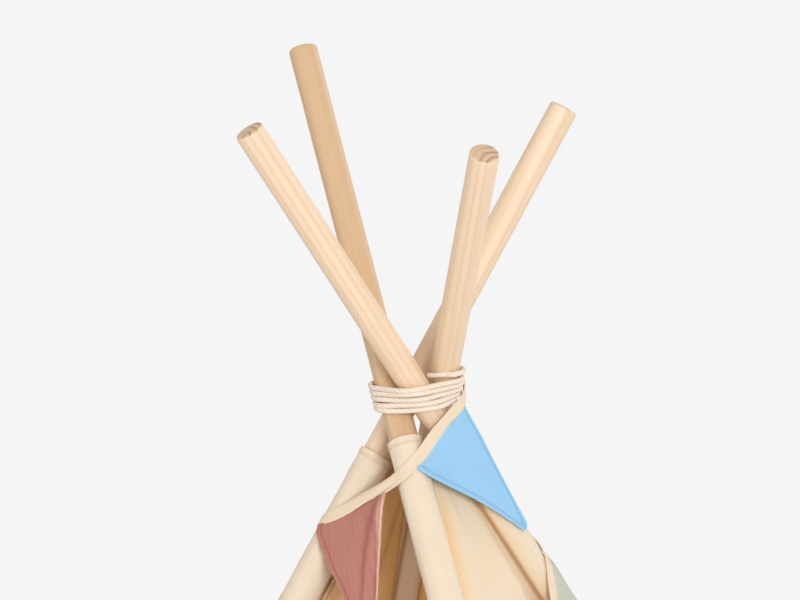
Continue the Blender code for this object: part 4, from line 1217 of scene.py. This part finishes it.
def add_pennants(stations, spacing, tapes):
    for i, (cloth, thread, slot, pole, other) in enumerate(PENNANTS):
        drop = FLAG_LENGTH * (0.93 if i == 0 else 1)
        cloth_point = flag_surface(i, stations, spacing, drop)
        rows, maps, marks = [], [], []
        for r in range(FLAG_ROWS + 1):
            share = r / FLAG_ROWS
            columns = flag_columns(flag_half(share))
            rows.append([cloth_point(u, share) for u in columns])
            maps.append([(flag_half(share) * u, -drop * share) for u in columns])
            marks.append([flag_mark(i, u, share) for u in columns])
        obj = sheet_object("flag_%d" % (i + 1), rows, maps, cloth, 0.0010, marks=marks)
        shares = [float(s) for s in np.linspace(0.01, 0.93, 26)]
        spots = [(-1, s) for s in shares] + [(1, s) for s in reversed(shares)]
        line = [cloth_point(side * max(0.0, 1 - HEM_SEWN / flag_half(s)), s) for side, s in spots]
        normals = [surface_normal(*bearing(p)) for p in line]
        line = [p + n * 0.0005 for p, n in zip(line, normals)]
        sewn = sewn_line("flag_%d_stitch_0" % (i + 1), line, normals, thread, 0.0036, 0.0025, 0.00024)
        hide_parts("pennant_%d" % (i + 1))
        if i:
            fold_all((obj, sewn), slot, pole, other)
        else:
            blend_all((obj, sewn), slot, CROWN + Vector((0, 0, 0.01)), BR.at(CROWN.z - 0.12))


# ---------------------------------------------------------------- floor, lights and camera

BACKDROP, SHADE = (0.913, 0.913, 0.916), (0.56, 0.57, 0.59)
# name, place, size in metres and power in watts
LAMPS = (("key", (2.3, -2.9, 2.3), 1.5, 71), ("fill", (-2.8, -2.4, 2.2), 2.2, 26),
         ("rim", (1.8, 2.6, 2.6), 1.6, 30))
LIT_DROP = 0.25
PHOTO_WIDTH, PHOTO_HEIGHT = 800, 600
CROWN_PIXEL, FOCAL_PIXELS, SENSOR = (416.2, 399.25), 3778.8, 36.0
CAMERA_AZIMUTH, CAMERA_RISE, CAMERA_ROLL, CAMERA_DISTANCE = 21.3, 12.213, 1.927, 3.868


def seen_directly(tree, *kinds):
    """One where a ray of one of these kinds arrives."""
    rays = add(tree, "ShaderNodeLightPath").outputs
    seen = rays[kinds[0]]
    for kind in kinds[1:]:
        seen = figure(tree, "MAXIMUM", seen, rays[kind])
    return seen


def add_floor():
    """A pale floor that shows as the backdrop further out."""
    bpy.ops.object.select_all(action="DESELECT")
    bpy.ops.mesh.primitive_circle_add(vertices=96, radius=40, fill_type="NGON", location=(0, 0, 0))
    floor = bpy.context.active_object
    floor.name = "floor"
    mat, tree, shader = nodes_of("pale_floor")
    feed(tree, shader, {"Base Color": (0.80, 0.80, 0.80), "Roughness": 0.9, "Specular IOR Level": 0.1})
    away = add(tree, "ShaderNodeVectorMath", {0: object_place(tree)}, operation="LENGTH").outputs["Value"]
    far = add(tree, "ShaderNodeMapRange", {"Value": away, "From Min": 1.1, "From Max": 2.6},
              interpolation_type="SMOOTHSTEP").outputs[0]
    seen = seen_directly(tree, "Is Camera Ray", "Is Glossy Ray")
    pale = add(tree, "ShaderNodeEmission", {"Color": BACKDROP})
    blend_in(tree, figure(tree, "MULTIPLY", seen, far), shader, pale)
    floor.data.materials.append(mat)


def add_studio():
    world = bpy.data.worlds.new("studio")
    bpy.context.scene.world = world
    world.use_nodes = True
    back = world.node_tree.nodes["Background"]
    seen = seen_directly(world.node_tree, "Is Camera Ray", "Is Glossy Ray", "Is Transmission Ray")
    feed(world.node_tree, back, {"Color": mixed(world.node_tree, seen, SHADE, BACKDROP), "Strength": 1.0})
    aim = CROWN - Vector((0, 0, LIT_DROP))
    for name, place, size, power in LAMPS:
        lamp = bpy.data.lights.new(name, "AREA")
        lamp.shape, lamp.size, lamp.energy = "DISK", size, power
        obj = linked(name, lamp)
        obj.location = place
        obj.rotation_euler = (aim - Vector(place)).to_track_quat("-Z", "Y").to_euler()


def add_camera():
    """Set by the four pole tops and the crossing in the photograph."""
    azimuth, rise, roll = radians(CAMERA_AZIMUTH), radians(CAMERA_RISE), radians(CAMERA_ROLL)
    back = Vector((sin(azimuth) * cos(rise), -cos(azimuth) * cos(rise), sin(rise)))
    ahead = -back
    right = ahead.cross(Vector((0, 0, 1))).normalized()
    up = right.cross(ahead)
    right, up = right * cos(roll) - up * sin(roll), right * sin(roll) + up * cos(roll)
    middle = (ahead + right * ((PHOTO_WIDTH / 2 - CROWN_PIXEL[0]) / FOCAL_PIXELS)
              + up * ((CROWN_PIXEL[1] - PHOTO_HEIGHT / 2) / FOCAL_PIXELS)).normalized()
    right = (right - middle * right.dot(middle)).normalized()
    up = right.cross(middle)
    data = bpy.data.cameras.new("camera")
    data.sensor_width, data.lens = SENSOR, FOCAL_PIXELS * SENSOR / PHOTO_WIDTH
    data.clip_start, data.clip_end = 0.1, 100
    camera = linked("camera", data)
    turned = Matrix((right, up, -middle)).transposed().to_4x4()
    camera.matrix_world = Matrix.Translation(CROWN + back * CAMERA_DISTANCE) @ turned
    bpy.context.scene.camera = camera


add_camera()
add_floor()
add_studio()
bpy.context.scene.view_settings.view_transform = "Standard"
add_poles()
add_foot_caps()
add_sleeves()
add_wall("left_wall", FL, BL, ("left_wall_front", "left_wall_back"))
add_wall("back_wall", BL, BR, ("back_wall_left", "back_wall_right"))
add_wall("right_wall", FR, BR, ("right_wall_front", "right_wall_back"))
add_curtains()
add_rope()
stations, spacing = bunting_stations()
add_pennants(stations, spacing, add_tape(stations, spacing))
